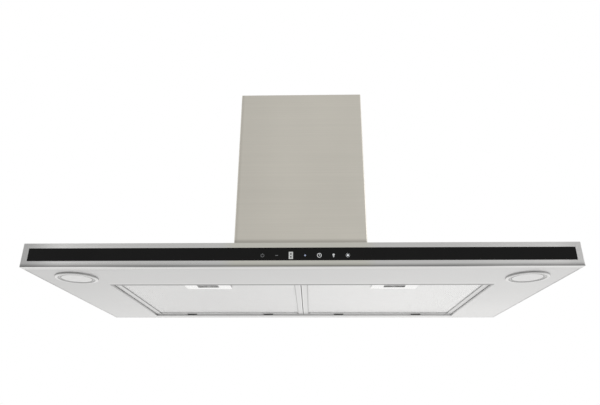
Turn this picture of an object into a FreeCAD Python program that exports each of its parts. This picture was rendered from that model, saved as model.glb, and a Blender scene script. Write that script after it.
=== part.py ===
import FreeCAD, Part
import math
import os

# Island range hood that hangs from a ceiling: a flat wide canopy with a black glass front, lamps and two
# tilting grease filters below, and a square telescopic chimney that hides the blower and its hanging frame.
# Millimetres. +Z is up, +X is to the right seen from the front, and the front faces -Y.
# The origin is the centre of the ceiling plate's top face, so everything lies below Z = 0.

V = FreeCAD.Vector

# ---------------------------------------------------------------- overall sizes
canopy_width = 900.0
canopy_depth = 450.0
canopy_height = 40.0
overall_height = 394.0      # from the underside panel to the ceiling, with the telescope closed
chimney_width = 244.0
chimney_depth = 244.0

# ---------------------------------------------------------------- sheets and clearances
panel_sheet = 1.0           # canopy shell and underside panel
cover_sheet = 1.0           # chimney covers
lap_sheet = 0.8             # strips that join the two halves of a cover
bend_radius = 0.8           # inside radius of a folded edge
over = 1.0                  # how far a cutting tool reaches past what it cuts
seam_gap = 0.4              # where two folded edges meet
slide_gap = 0.6             # upper cover to the lap strips of the lower one
fit_gap = 0.4               # ceiling plate's flange to the lap strips of the upper cover
screw_gap = 0.1             # a shank in its hole
rim_gap = 1.0               # lower cover's rim to the ceiling
upper_rim_gap = 0.6
upper_cover_lift = 8.0      # upper cover's lower edge above the canopy
base_flange = 9.0           # lower cover's flange on the canopy
lap_half = 7.0              # half the width of a lap strip
lap_end = 14.0              # a lap strip's ends short of the cover's

# ---------------------------------------------------------------- screws
small_shank_r = 1.4
foot_screw_r = 2.0
small_head_r = 3.0
foot_head_r = 3.6
head_height = 1.8
shank_past = 3.0            # a shank's end past the last sheet
seam_screw_y = -3.5
seam_screw_drop = 26.0
base_screw_x = 100.0
plate_screw_y = 45.0
cabinet_screw_x = 60.0
back_screw_places = [-330.0, -110.0, 110.0, 330.0]
back_screw_lift = 7.0
fascia_screw_places = [-400.0, -130.0, 130.0, 400.0]

# ---------------------------------------------------------------- hanging frame
plate_sheet = 2.0
plate_flange = 20.0
plate_corner_r = 3.0
way_corner_r = 12.0
notch_half = 10.0           # half the width of the cable notch
notch_past = 9.0            # the notch's end past the cable gland's middle
core_gap = 2.0              # blower cabinet to the frame's square way
post_sheet = 2.0
post_leg = 25.0
post_gap = 4.4              # room for the clamp nuts between the upper posts and the upper cover
post_slide = 0.4            # lower post inside the upper post
post_foot_gap = 5.0         # upper posts' feet above the canopy
post_top_gap = 4.0          # lower posts' tops below the ceiling plate
clamp_bolt_r = 2.45
clamp_slot_half = 2.8
clamp_slot_room = 8.0       # a slot's end past the bolt at each end of its travel
clamp_flats = 8.0
clamp_head_height = 3.0
clamp_nut_height = 2.4
clamp_nut_gap = 0.2         # nut to the upper post
clamp_drop = 34.0           # clamp bolts below the ceiling, with the telescope closed
telescope_travel = 250.0
ceiling_hole_r = 4.0
ceiling_hole_x = 60.0

# ---------------------------------------------------------------- front fascia
fascia_depth = 16.0
fascia_wall = 1.2
top_rail = 8.5
bottom_rail = 10.0
side_rail = 10.0
glass_thick = 4.0
glass_gap = 0.3
glass_recess = 0.4
glass_ledge = 3.0
key_pitch = 22.8
key_row_x = 9.4             # middle of the row of touch keys
key_drop = 2.3              # keys below the middle of the glass
display_index = 2           # the place in the row that the number display takes
key_places = 7
touch_spring_length = 6.0
board_thick = 1.6
board_half_height = 6.5
board_socket = 3.0          # socket behind the touch board

# ---------------------------------------------------------------- underside and filters
panel_flange = 12.0
bay_half_width = 346.0
bay_front = 126.0           # behind the canopy's front face
bay_back = 429.0
bay_flange = 14.0
filter_recess = 4.0
filter_thick = 9.0
filter_border = 12.0
filter_sheet = 1.0
filter_side_gap = 1.0
filter_back_gap = 3.0       # filter's rear wall to the hinge line
mesh_sheet = 0.6
mesh_gap = 0.2
lug_place = 90.0            # rear lugs each side of a filter's middle
lug_width = 18.0
lug_thick = 1.2
lug_reach = 4.0             # past the hinge line
lug_slot_half = 2.6

# ---------------------------------------------------------------- filter handle and latch
handle_width = 85.0
handle_depth = 40.0
handle_sheet = 0.8
cup_half = 23.0
cup_depth = 30.0
rail_width = 2.7            # rails beside the mouth that the latch slides on
latch_thick = 2.5
latch_length = 13.0
latch_front = 3.0           # the latch's body behind the filter's front face
tab_drop = 1.6              # the finger tab below the filter's face
tab_thick = 1.5
spring_r = 1.9
spring_wire_r = 0.3
bolt_half = 6.0
bolt_thick = 2.0
latch_travel = 5.5
bolt_reach = latch_travel - 1.5   # a drawn bolt stands this much clear of the bay
latch_gap = 0.3

# ---------------------------------------------------------------- lamps
lamp_x = 385.0
lamp_from_front = 68.0
bezel_cover = 3.4           # the bezel's rim past its neck
bezel_proud = 2.5
lens_r = 30.0
lens_lip = 1.0              # the bezel's lip over the lens
lens_gap = 0.2
lens_thick = 3.0
lens_dome = 0.6
lamp_neck_wall = 2.2
lamp_neck_height = 7.0
lamp_can_wall = 1.5
lamp_can_height = 20.0
lamp_top_sheet = 2.0
fin_height = 4.0
fin_half = 0.75
led_circle_r = 14.0
led_half = 1.5
led_height = 0.8

# ---------------------------------------------------------------- blower
cabinet_half_x = 86.0
cabinet_half_y = 98.0
cabinet_height = 250.0
cabinet_flange = 10.0
intake_margin = 10.0        # cabinet's walls to the edge of the air intake
flange_half = 75.0          # half the length of the cabinet's flanges
casing_wall = 1.2
wheel_side_gap = 6.0        # wheel to the casing's side walls
wheel_rim_gap = 7.0         # wheel to the start of the volute
volute_step = 6.0           # the volute's growth in each quarter turn
tongue_angle = 68.0         # degrees above the front
inlet_flange = 8.0
casing_lift = 8.0
wheel_r = 66.0
wheel_half = 48.0
blade_count = 30
blade_depth = 12.0
blade_thick = 1.0
blade_lean = 28.0           # degrees
blade_ahead = 3.0           # a blade's inner edge ahead of the wheel's middle
blade_seat = 2.0            # middle ring past the blades' inner edges
rim_size = 3.0              # the wheel's end rims, square in section
disc_half = 1.0             # half the thickness of the wheel's middle disc
hub_r = 12.0
hub_half = 8.0
shaft_r = 4.0
shaft_past = 5.0            # the shaft's end past the motor's back
wheel_nut_flats = 13.0
wheel_nut_height = 5.0
running_gap = 0.05
motor_gap = 10.5            # air's way between the motor and the inlet ring
bush_length = 5.8
bush_r = 6.0
bracket_sheet = 2.0
motor_inner_x = -12.0
collar_r = 75.0
collar_wall = 1.0
collar_height = 50.0
damper_lift = 12.0          # damper pin above the cabinet
damper_pin_r = 1.5
flap_sheet = 0.8
flap_gap = 1.4              # flap's rim to the collar
knuckle_r = 2.8
knuckle_gap = 0.3
knuckle_spans = 4

# ---------------------------------------------------------------- electrics
box_width = 180.0
box_depth = 86.0
box_height = 26.0
box_wall = 2.0
box_from_front = 25.0
gland_x = 100.0
gland_bore_r = 4.2
gland_neck_r = 7.8
lead_r = 2.5
flat_lead_half = 8.0        # half the width of the touch board's flat cable
flat_lead_sheet = 1.2
flat_lead_end = 12.0        # the flat cable's end behind the control box's front
lead_drop = 14.0            # leads below the canopy's top
lamp_lead_ahead = 22.0      # lamp leads leave the box this far in front of the lamps' middles
motor_lead_x = -60.0
capacitor_r = 14.0
capacitor_length = 50.0

# ---------------------------------------------------------------- levels and places worked out
under_z = -overall_height
top_z = under_z + canopy_height
inner_top_z = top_z - panel_sheet
front_y = -canopy_depth / 2
back_y = canopy_depth / 2
fascia_back_y = front_y + fascia_depth
lower_inner_half_x = chimney_width / 2 - cover_sheet
lower_inner_half_y = chimney_depth / 2 - cover_sheet
upper_half_x = lower_inner_half_x - lap_sheet - slide_gap
upper_half_y = lower_inner_half_y - lap_sheet - slide_gap
plate_half_x = upper_half_x - cover_sheet - lap_sheet - fit_gap
plate_half_y = upper_half_y - cover_sheet - lap_sheet - fit_gap
post_half_x = plate_half_x - post_gap
post_half_y = plate_half_y - post_gap
lower_post_half_x = post_half_x - post_sheet - post_slide
lower_post_half_y = post_half_y - post_sheet - post_slide
core_half = cabinet_half_x + core_gap
cabinet_top_z = top_z + cabinet_height
casing_half = wheel_half + wheel_side_gap
volute_start = wheel_r + wheel_rim_gap
volute_reach = volute_start + 3.5 * volute_step
wheel_z = top_z + casing_lift + volute_reach
wheel_disc_r = wheel_r - blade_depth - blade_seat
hinge_y = front_y + bay_back + panel_sheet / 2
filter_z = under_z + filter_recess
hinge_z = filter_z + lug_thick / 2
filter_width = bay_half_width - 1.5 * filter_side_gap
filter_x = bay_half_width / 2 - filter_side_gap / 4
filter_front_y = front_y + bay_front + filter_side_gap
filter_back_y = hinge_y - filter_back_gap
glass_width = canopy_width - 2 * side_rail
glass_height = canopy_height - top_rail - bottom_rail
glass_mid_z = under_z + bottom_rail + glass_height / 2
glass_front_y = front_y + glass_recess
glass_back_y = glass_front_y + glass_thick
lamp_y = front_y + lamp_from_front
lens_view_r = lens_r - lens_lip
neck_r = lens_r + lens_gap + lamp_neck_wall
bezel_r = neck_r + bezel_cover
lamp_can_r = neck_r - 0.4
lens_z = under_z - bezel_proud + 1.0
damper_z = cabinet_top_z + damper_lift
scroll_mouth_half = collar_r - 15.0
box_front_y = front_y + box_from_front
box_back_y = box_front_y + box_depth
box_bottom_z = inner_top_z - box_height
clamp_y = post_half_y - post_leg / 2
lower_cover_z = (top_z, -rim_gap)
upper_cover_z = (top_z + upper_cover_lift, -upper_rim_gap)
base_screw_y = lower_inner_half_y - base_flange / 2
plate_screw_z = -plate_flange * 0.55
ceiling_hole_y = (core_half + plate_half_y - plate_sheet) / 2
lower_post_leg = post_leg - post_sheet - 1.0
foot_centre = (lower_post_leg + post_sheet) / 2
cabinet_screw_y = cabinet_half_y + cabinet_flange / 2
back_screw_z = under_z + back_screw_lift
fascia_screw_z = top_z - top_rail / 2
intake_half_x = cabinet_half_x - intake_margin
intake_half_y = cabinet_half_y - intake_margin
bolt_z = filter_z + 2.0
latch_bottom_z = bolt_z - 0.2
mouth_half = cup_half - handle_sheet - rail_width
latch_half = cup_half - handle_sheet - 3 * latch_gap
tab_half = mouth_half - 2 * latch_gap
filter_half = filter_width / 2
key_z = glass_mid_z - key_drop
key_xs = [key_row_x + (k - (key_places - 1) / 2) * key_pitch for k in range(key_places)]
touch_x = key_xs[-2]
board_y = glass_back_y + touch_spring_length
inlet_r = wheel_r - blade_depth - 3.5
inlet_hole_r = inlet_r + 5.5
motor_r = inlet_r - motor_gap
motor_back_x = -casing_half - casing_wall - bush_length
motor_length = motor_inner_x - motor_back_x
bush_circle_r = inlet_hole_r + inlet_flange + bush_r + 2.0
lead_z = inner_top_z - lead_drop
lamp_lead_y = lamp_y - lamp_lead_ahead


# ---------------------------------------------------------------- helpers
def block(x0, x1, y0, y1, z0, z1):
    return Part.makeBox(x1 - x0, y1 - y0, z1 - z0, V(x0, y0, z0))


def rod(radius, start, direction, length):
    return Part.makeCylinder(radius, length, V(*start), V(*direction))


def ring(outer_r, inner_r, start, direction, length):
    return rod(outer_r, start, direction, length).cut(rod(inner_r, start, direction, length))


def joined(shapes):
    return shapes[0].multiFuse(shapes[1:]).removeSplitter()


def without(shape, tools):
    return shape.cut(Part.makeCompound(tools)) if tools else shape


def near(a, b):
    return abs(a - b) < 1e-4


def revolved(points, axis_point, axis):
    """Turns a closed outline of (radius, height) points round an axis along X or Z."""
    if axis == "Z":
        path = [V(axis_point[0] + r, axis_point[1], axis_point[2] + h) for r, h in points]
        direction = V(0, 0, 1)
    else:
        path = [V(axis_point[0] + h, axis_point[1], axis_point[2] + r) for r, h in points]
        direction = V(1, 0, 0)
    face = Part.Face(Part.makePolygon(path + [path[0]]))
    return face.revolve(V(*axis_point), direction, 360)


def screw(head_r, head_h, shank_r, shank_length, seat, inward):
    """A pan-head screw. seat is the middle of the head's bearing face, and inward the way the shank goes."""
    inward = V(*inward)
    seat = V(*seat)
    head = Part.makeCylinder(head_r, head_h, seat - inward * head_h, inward)
    top_edge = [e for e in head.Edges if near((e.CenterOfMass - (seat - inward * head_h)).Length, 0)]
    head = head.makeFillet(head_h * 0.45, top_edge)
    across = V(0, 0, 1) if abs(inward.z) < 0.5 else V(1, 0, 0)
    other = inward.cross(across)
    slot_depth = head_h * 0.5
    for along, side in ((across, other), (other, across)):
        cutter = Part.makePolygon([
            seat - inward * head_h + along * (head_r * 0.55 * a) + side * (head_r * 0.13 * b)
            for a, b in ((-1, -1), (1, -1), (1, 1), (-1, 1), (-1, -1))])
        head = head.cut(Part.Face(cutter).extrude(inward * slot_depth))
    shank = Part.makeCylinder(shank_r, shank_length, seat, inward)
    return joined([head, shank])


def coil(radius, wire_r, pitch, length, start, direction):
    """An open coil spring with its axis from start along direction."""
    rise = length - 2 * wire_r
    helix = Part.makeHelix(pitch, rise, radius)
    first = helix.Edges[0]
    tangent = first.tangentAt(first.FirstParameter)
    profile = Part.Wire(Part.makeCircle(wire_r, V(radius, 0, 0), tangent))
    spring = Part.Wire(helix.Edges).makePipeShell([profile], True, True)
    spring.translate(V(0, 0, wire_r))
    spring.Placement = FreeCAD.Placement(V(*start), FreeCAD.Rotation(V(0, 0, 1), V(*direction))).multiply(
        spring.Placement)
    return spring


def lead(points, radius):
    """A round cable along straight runs joined by the largest tangent arcs that the runs allow."""
    points = [V(*p) for p in points]
    edges = []
    here = points[0]
    for before, corner, after in zip(points, points[1:], points[2:]):
        into = (corner - before).normalize()
        out = (after - corner).normalize()
        turn = math.acos(max(-1.0, min(1.0, into.dot(out))))
        reach = 0.45 * min((corner - before).Length, (after - corner).Length)
        start = corner - into * reach
        end = corner + out * reach
        bend = reach / math.tan(turn / 2)
        toward = (out - into).normalize()
        middle = corner + toward * (bend / math.cos(turn / 2) - bend)
        edges.append(Part.LineSegment(here, start).toShape())
        edges.append(Part.Arc(start, middle, end).toShape())
        here = end
    edges.append(Part.LineSegment(here, points[-1]).toShape())
    profile = Part.Wire(Part.makeCircle(radius, points[0], points[1] - points[0]))
    return Part.Wire(edges).makePipeShell([profile], True, True)


def save(node, shape):
    shape.exportStep("parts/" + node + ".step")


# ---------------------------------------------------------------- chimney covers
def uprights(shape, face_y):
    """The full-height edges of a shape that lie in the plane Y = face_y."""
    return [e for e in shape.Edges
            if near(e.Length, shape.BoundBox.ZLength) and near(e.Vertexes[0].Point.y, face_y)]


def cover_half(half_x, half_y, z0, z1, side, flange_width):
    """A U-shaped half of a square cover. side is -1 for the front half and 1 for the back half."""
    face_y = side * half_y
    outer = block(-half_x, half_x, *sorted((side * seam_gap / 2, face_y)), z0, z1)
    outer = outer.makeFillet(bend_radius + cover_sheet, uprights(outer, face_y))
    inner_x = half_x - cover_sheet
    inner_y = side * (half_y - cover_sheet)
    inner = block(-inner_x, inner_x, *sorted((-face_y, inner_y)), z0 - over, z1 + over)
    half = outer.cut(inner.makeFillet(bend_radius, uprights(inner, inner_y)))
    if flange_width:
        reach_x = inner_x - bend_radius
        edge_y = inner_y - side * flange_width
        flange = block(-reach_x, reach_x, *sorted((inner_y, edge_y)), z0, z0 + cover_sheet)
        half = joined([half, flange])
    return half


def lap_strips(half_x, z0, z1):
    """The two strips inside a cover that carry its seam screws."""
    outer_x = half_x - cover_sheet
    return [block(*sorted((s * outer_x, s * (outer_x - lap_sheet))), -lap_half, lap_half, z0, z1)
            for s in (-1, 1)]


def seam_screw_places(z_low, z_high):
    return [(s, z) for s in (-1, 1) for z in (z_low + seam_screw_drop, z_high - seam_screw_drop)]


def lower_cover(side):
    z0, z1 = lower_cover_z
    half = cover_half(chimney_width / 2, chimney_depth / 2, z0, z1, side, base_flange)
    holes = [rod(small_shank_r + screw_gap, (s * base_screw_x, side * base_screw_y, z0 - 1), (0, 0, 1), 4)
             for s in (-1, 1)]
    if side > 0:
        half = joined([half] + lap_strips(chimney_width / 2, z0 + lap_end, z1 - lap_end))
    holes += [rod(small_shank_r + screw_gap, (s * (chimney_width / 2 + 1), seam_screw_y, z), (-s, 0, 0), 4)
              for s, z in seam_screw_places(z0, z1)]
    return without(half, holes)


def upper_cover(side):
    z0, z1 = upper_cover_z
    half = cover_half(upper_half_x, upper_half_y, z0, z1, side, 0)
    if side > 0:
        half = joined([half] + lap_strips(upper_half_x, z0 + lap_end, z1 - plate_flange - lap_half))
    holes = [rod(small_shank_r + screw_gap, (s * (upper_half_x + 1), side * plate_screw_y, plate_screw_z),
                 (-s, 0, 0), 4) for s in (-1, 1)]
    return without(half, holes)


def lower_cover_screws():
    z0, z1 = lower_cover_z
    seam = [screw(small_head_r, head_height, small_shank_r, cover_sheet + lap_sheet,
                  (s * chimney_width / 2, seam_screw_y, z), (-s, 0, 0)) for s, z in seam_screw_places(z0, z1)]
    base = [screw(small_head_r, head_height, small_shank_r, cover_sheet + panel_sheet + shank_past,
                  (s * base_screw_x, side * base_screw_y, z0 + cover_sheet), (0, 0, -1))
            for s in (-1, 1) for side in (-1, 1)]
    return Part.makeCompound(seam + base)


def upper_cover_screws():
    length = upper_half_x - plate_half_x + plate_sheet + over
    return Part.makeCompound([
        screw(small_head_r, slide_gap + lap_sheet / 2, small_shank_r, length,
              (s * upper_half_x, side * plate_screw_y, plate_screw_z), (-s, 0, 0))
        for s in (-1, 1) for side in (-1, 1)])


# ---------------------------------------------------------------- hanging frame
def ceiling_plate():
    """A square steel plate with a down-turned flange, a wide way through for the duct and a cable notch."""
    tray = block(-plate_half_x, plate_half_x, -plate_half_y, plate_half_y, -plate_flange, 0)
    sides = [e for e in tray.Edges if near(e.Length, plate_flange)]
    tray = tray.makeFillet(plate_corner_r, sides)
    inside = block(-plate_half_x + plate_sheet, plate_half_x - plate_sheet,
                   -plate_half_y + plate_sheet, plate_half_y - plate_sheet, -plate_flange - over, -plate_sheet)
    way = block(-core_half, core_half, -core_half, core_half, -plate_flange, over)
    way = way.makeFillet(way_corner_r, [e for e in way.Edges if near(e.Length, plate_flange + over)])
    notch = block(core_half - over, gland_x + notch_past, -notch_half, notch_half, -plate_flange / 2, over)
    holes = [rod(ceiling_hole_r, (s * ceiling_hole_x, t * ceiling_hole_y, -plate_sheet - 1), (0, 0, 1), 5)
             for s in (-1, 1) for t in (-1, 1)]
    holes += [rod(small_shank_r + screw_gap, (s * (plate_half_x + 1), t * plate_screw_y, plate_screw_z),
                  (-s, 0, 0), 5) for s in (-1, 1) for t in (-1, 1)]
    return without(tray, [inside, way, notch] + holes)


def angle_post(half_x, half_y, leg, z0, z1, sx, sy):
    """An L-section post with its corner at (sx * half_x, sy * half_y) and its legs turned inwards."""
    corner = block(*sorted((sx * half_x, sx * (half_x - leg))), *sorted((sy * half_y, sy * (half_y - leg))),
                   z0, z1)
    hollow = block(*sorted((sx * (half_x - post_sheet), sx * (half_x - leg - 1))),
                   *sorted((sy * (half_y - post_sheet), sy * (half_y - leg - 1))), z0 - 1, z1 + 1)
    return corner.cut(hollow)


def corners():
    return [(sx, sy) for sy in (-1, 1) for sx in (-1, 1)]


def upper_post(sx, sy):
    post = angle_post(post_half_x, post_half_y, post_leg, top_z + post_foot_gap, -plate_sheet, sx, sy)
    z_high = -clamp_drop + clamp_slot_room
    z_low = -clamp_drop - telescope_travel - clamp_slot_room
    x = sx * (post_half_x + 1)
    slot = block(*sorted((x, x - sx * 5)), sy * clamp_y - clamp_slot_half, sy * clamp_y + clamp_slot_half,
                 z_low, z_high)
    ends = [rod(clamp_slot_half, (x, sy * clamp_y, z), (-sx, 0, 0), 5) for z in (z_low, z_high)]
    return without(post, [slot] + ends)


def foot_place(sx, sy):
    return sx * (lower_post_half_x - foot_centre), sy * (lower_post_half_y - foot_centre)


def lower_post(sx, sy):
    post = angle_post(lower_post_half_x, lower_post_half_y, lower_post_leg, top_z,
                      -plate_sheet - post_top_gap, sx, sy)
    foot = block(*sorted((sx * (lower_post_half_x - post_sheet), sx * (lower_post_half_x - lower_post_leg))),
                 *sorted((sy * (lower_post_half_y - post_sheet), sy * (lower_post_half_y - lower_post_leg))),
                 top_z, top_z + post_sheet)
    x, y = foot_place(sx, sy)
    holes = [rod(foot_screw_r + screw_gap, (x, y, top_z - 1), (0, 0, 1), post_sheet + 2),
             rod(clamp_bolt_r + screw_gap, (sx * (lower_post_half_x + 1), sy * clamp_y, -clamp_drop),
                 (-sx, 0, 0), 5)]
    return without(joined([post, foot]), holes)


def hexagon(across_flats, thick, centre, direction, bore_r):
    """A hexagonal nut with its first face at centre."""
    corner_r = across_flats / math.sqrt(3)
    points = [V(corner_r * math.cos(math.radians(60 * k)), corner_r * math.sin(math.radians(60 * k)), 0)
              for k in range(7)]
    nut = Part.Face(Part.makePolygon(points)).extrude(V(0, 0, thick))
    if bore_r:
        nut = nut.cut(rod(bore_r, (0, 0, -1), (0, 0, 1), thick + 2))
    nut.Placement = FreeCAD.Placement(V(*centre), FreeCAD.Rotation(V(0, 0, 1), V(*direction)))
    return nut


def clamp_bolts():
    """One bolt and nut at each corner, which clamp the lower post to the slotted upper post."""
    found = []
    for sx, sy in corners():
        seat_x = lower_post_half_x - post_sheet
        nut_x = post_half_x + clamp_nut_gap
        length = nut_x - seat_x + clamp_nut_height
        seat = (sx * seat_x, sy * clamp_y, -clamp_drop)
        head_at = (sx * (seat_x - clamp_head_height), sy * clamp_y, -clamp_drop)
        head = hexagon(clamp_flats, clamp_head_height, head_at, (sx, 0, 0), 0)
        shank = rod(clamp_bolt_r, seat, (sx, 0, 0), length)
        found.append(joined([head, shank]))
        found.append(hexagon(clamp_flats, clamp_nut_height, (sx * nut_x, sy * clamp_y, -clamp_drop), (sx, 0, 0),
                             clamp_bolt_r + running_gap))
    return Part.makeCompound(found)


def frame_screws():
    """Screws that hold the lower posts and the blower cabinet down on the canopy."""
    found = []
    for sx, sy in corners():
        x, y = foot_place(sx, sy)
        found.append(screw(foot_head_r, head_height, foot_screw_r, post_sheet + panel_sheet + shank_past,
                           (x, y, top_z + post_sheet), (0, 0, -1)))
        found.append(screw(foot_head_r, head_height, foot_screw_r, 2 * panel_sheet + shank_past,
                           (sx * cabinet_screw_x, sy * cabinet_screw_y, top_z + panel_sheet), (0, 0, -1)))
    return Part.makeCompound(found)


# ---------------------------------------------------------------- canopy
def canopy_top():
    """The flat top sheet, welded inside the skirt, with a short flange bent down behind the fascia."""
    half = canopy_width / 2 - panel_sheet
    sheet = block(-half, half, fascia_back_y, back_y - panel_sheet, inner_top_z, top_z)
    sheet = sheet.makeFillet(bend_radius, [e for e in sheet.Edges if near(e.Length, panel_sheet)
                                           and near(e.Vertexes[0].Point.y, back_y - panel_sheet)])
    flange = block(-half, half, fascia_back_y, fascia_back_y + panel_sheet, top_z - panel_flange, inner_top_z)
    down = (0, 0, -1)
    cuts = [block(-intake_half_x, intake_half_x, -intake_half_y, intake_half_y, inner_top_z - 1, top_z + 1)]
    for sx, sy in corners():
        x, y = foot_place(sx, sy)
        cuts.append(rod(foot_screw_r + screw_gap, (x, y, top_z + 1), down, 4))
        cuts.append(rod(foot_screw_r + screw_gap, (sx * cabinet_screw_x, sy * cabinet_screw_y, top_z + 1),
                        down, 4))
        cuts.append(rod(small_shank_r + screw_gap, (sx * base_screw_x, sy * base_screw_y, top_z + 1), down, 4))
    cuts.append(rod(gland_neck_r + 0.2, (gland_x, 0, top_z + 1), down, 4))
    cuts += [rod(foot_screw_r + screw_gap, (x, fascia_back_y - 1, fascia_screw_z), (0, 1, 0), 4)
             for x in fascia_screw_places]
    return without(joined([sheet, flange]), cuts)


def canopy_skirt():
    """One strip folded round the left side, the back and the right side of the canopy."""
    half = canopy_width / 2
    outside = block(-half, half, fascia_back_y, back_y, under_z, top_z)
    corner_edges = [e for e in outside.Edges if near(e.Length, canopy_height)
                    and near(e.Vertexes[0].Point.y, back_y)]
    outside = outside.makeFillet(bend_radius + panel_sheet, corner_edges)
    inside = block(-half + panel_sheet, half - panel_sheet, fascia_back_y - 1, back_y - panel_sheet,
                   under_z - 1, top_z + 1)
    inner_edges = [e for e in inside.Edges if near(e.Length, canopy_height + 2)
                   and near(e.Vertexes[0].Point.y, back_y - panel_sheet)]
    band = outside.cut(inside.makeFillet(bend_radius, inner_edges))
    holes = [rod(foot_screw_r + screw_gap, (x, back_y + 1, back_screw_z), (0, -1, 0), 4)
             for x in back_screw_places]
    return without(band, holes)


def lugs(reach_in, reach_out, half_width, z0, z1):
    """Blocks at the four rear lug places of the two filters."""
    return [block(x - half_width, x + half_width, hinge_y - reach_in, hinge_y + reach_out, z0, z1)
            for side in (-1, 1) for x in (side * filter_x - lug_place, side * filter_x + lug_place)]


def underside_panel():
    """The tray that closes the canopy from below, with the filter bay and two lamp holes."""
    half = canopy_width / 2 - panel_sheet - seam_gap
    y0, y1 = fascia_back_y, back_y - panel_sheet - seam_gap
    tray = block(-half, half, y0, y1, under_z, under_z + panel_flange)
    bottom_edges = [e for e in tray.Edges if all(near(v.Point.z, under_z) for v in e.Vertexes)]
    tray = tray.makeFillet(bend_radius + panel_sheet / 2, bottom_edges)
    hollow = block(-half + panel_sheet, half - panel_sheet, y0 + panel_sheet, y1 - panel_sheet,
                   under_z + panel_sheet, under_z + panel_flange + 1)
    bay_y = (front_y + bay_front, front_y + bay_back)
    rim = block(-bay_half_width - panel_sheet, bay_half_width + panel_sheet,
                bay_y[0] - panel_sheet, bay_y[1] + panel_sheet, under_z + panel_sheet, under_z + bay_flange)
    bay = block(-bay_half_width, bay_half_width, bay_y[0], bay_y[1], under_z - 1, under_z + bay_flange + 1)
    panel = joined([tray.cut(hollow), rim]).cut(bay)
    lip = [e for e in panel.Edges if all(
        near(v.Point.z, under_z) and abs(v.Point.x) < bay_half_width + 0.01
        and bay_y[0] - 0.01 < v.Point.y < bay_y[1] + 0.01 for v in e.Vertexes)]
    panel = panel.makeFillet(bend_radius, lip)
    cuts = [rod(neck_r + 0.4, (s * lamp_x, lamp_y, under_z - 1), (0, 0, 1), 4) for s in (-1, 1)]
    cuts += lugs(2, 2, lug_width / 2 + 2, hinge_z - lug_slot_half, hinge_z + lug_slot_half)
    cuts += [block(s * filter_x - bolt_half - 1, s * filter_x + bolt_half + 1, bay_y[0] - 3, bay_y[0] + 1,
                   bolt_z - 1, bolt_z + bolt_thick + 1) for s in (-1, 1)]
    cuts += [rod(foot_screw_r + screw_gap, (x, back_y, back_screw_z), (0, -1, 0), 6)
             for x in back_screw_places]
    return without(panel, cuts)


def canopy_screws():
    """Screws through the back skirt into the underside panel, and through the front flange into the fascia."""
    back = [screw(foot_head_r, head_height, foot_screw_r, 2 * panel_sheet + seam_gap + shank_past,
                  (x, back_y, back_screw_z), (0, -1, 0))
            for x in back_screw_places]
    front = [screw(small_head_r, head_height, foot_screw_r, panel_sheet + fascia_wall + shank_past,
                   (x, fascia_back_y + panel_sheet, fascia_screw_z), (0, -1, 0)) for x in fascia_screw_places]
    return Part.makeCompound(back + front)


# ---------------------------------------------------------------- fascia and touch controls
def centred(half_x, y0, y1, half_z):
    return block(-half_x, half_x, y0, y1, glass_mid_z - half_z, glass_mid_z + half_z)


def fascia_frame():
    """A hollow rail round the glass, open at the back, with a pocket and a ledge for the glass."""
    half = canopy_width / 2
    outside = block(-half, half, front_y, fascia_back_y, under_z, top_z)
    front_edges = [e for e in outside.Edges if all(near(v.Point.y, front_y) for v in e.Vertexes)]
    outside = outside.makeFillet(bend_radius, front_edges)
    ledge_y = glass_back_y + fascia_wall
    pocket_x = glass_width / 2
    pocket_z = glass_height / 2
    pocket = centred(pocket_x, front_y - 1, glass_back_y, pocket_z)
    window = centred(pocket_x - glass_ledge, front_y, fascia_back_y + 1, pocket_z - glass_ledge)
    back_room = block(-half + fascia_wall, half - fascia_wall, ledge_y, fascia_back_y + 1,
                      under_z + fascia_wall, top_z - fascia_wall)
    channel = block(-half + fascia_wall, half - fascia_wall, front_y + fascia_wall, ledge_y + 0.01,
                    under_z + fascia_wall, top_z - fascia_wall)
    channel = channel.cut(centred(pocket_x + fascia_wall, front_y, fascia_back_y, pocket_z + fascia_wall))
    frame = without(outside, [pocket, window, back_room, channel])
    bosses = [block(x - 5, x + 5, fascia_back_y - fascia_wall - 3.5, fascia_back_y,
                    fascia_screw_z - 3.6, top_z - fascia_wall + 0.1) for x in fascia_screw_places]
    holes = [rod(foot_screw_r + screw_gap, (x, fascia_back_y + 1, fascia_screw_z), (0, -1, 0),
                 fascia_wall + 4.5) for x in fascia_screw_places]
    return without(joined([frame] + bosses), holes)


def fascia_glass():
    half_x = glass_width / 2 - glass_gap
    half_z = glass_height / 2 - glass_gap
    glass = centred(half_x, glass_front_y, glass_back_y, half_z)
    front_edges = [e for e in glass.Edges if all(near(v.Point.y, glass_front_y) for v in e.Vertexes)]
    return glass.makeChamfer(0.4, front_edges)


def touch_board():
    half = key_places * key_pitch / 2
    board = block(key_row_x - half, key_row_x + half, board_y, board_y + board_thick,
                  key_z - board_half_height, key_z + board_half_height)
    chip = block(key_row_x - 4, key_row_x + 4, board_y + board_thick, board_y + board_thick + 1.2,
                 key_z - 4, key_z + 4)
    socket = block(touch_x - 9, touch_x + 9, board_y + board_thick, board_y + board_thick + board_socket,
                   key_z - 3, key_z + 3)
    return joined([board, chip, socket])


def touch_springs():
    """One sensing spring behind each touch key."""
    return Part.makeCompound([coil(3.0, 0.3, 1.8, touch_spring_length, (x, glass_back_y, key_z), (0, 1, 0))
                              for k, x in enumerate(key_xs) if k != display_index])


def display_module():
    x = key_xs[display_index]
    body = block(x - 5.0, x + 5.0, glass_back_y + 0.2, board_y, key_z - 5.4, key_z + 7.4)
    return body.makeChamfer(0.4, [e for e in body.Edges
                                  if all(near(v.Point.y, glass_back_y + 0.2) for v in e.Vertexes)])


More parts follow.
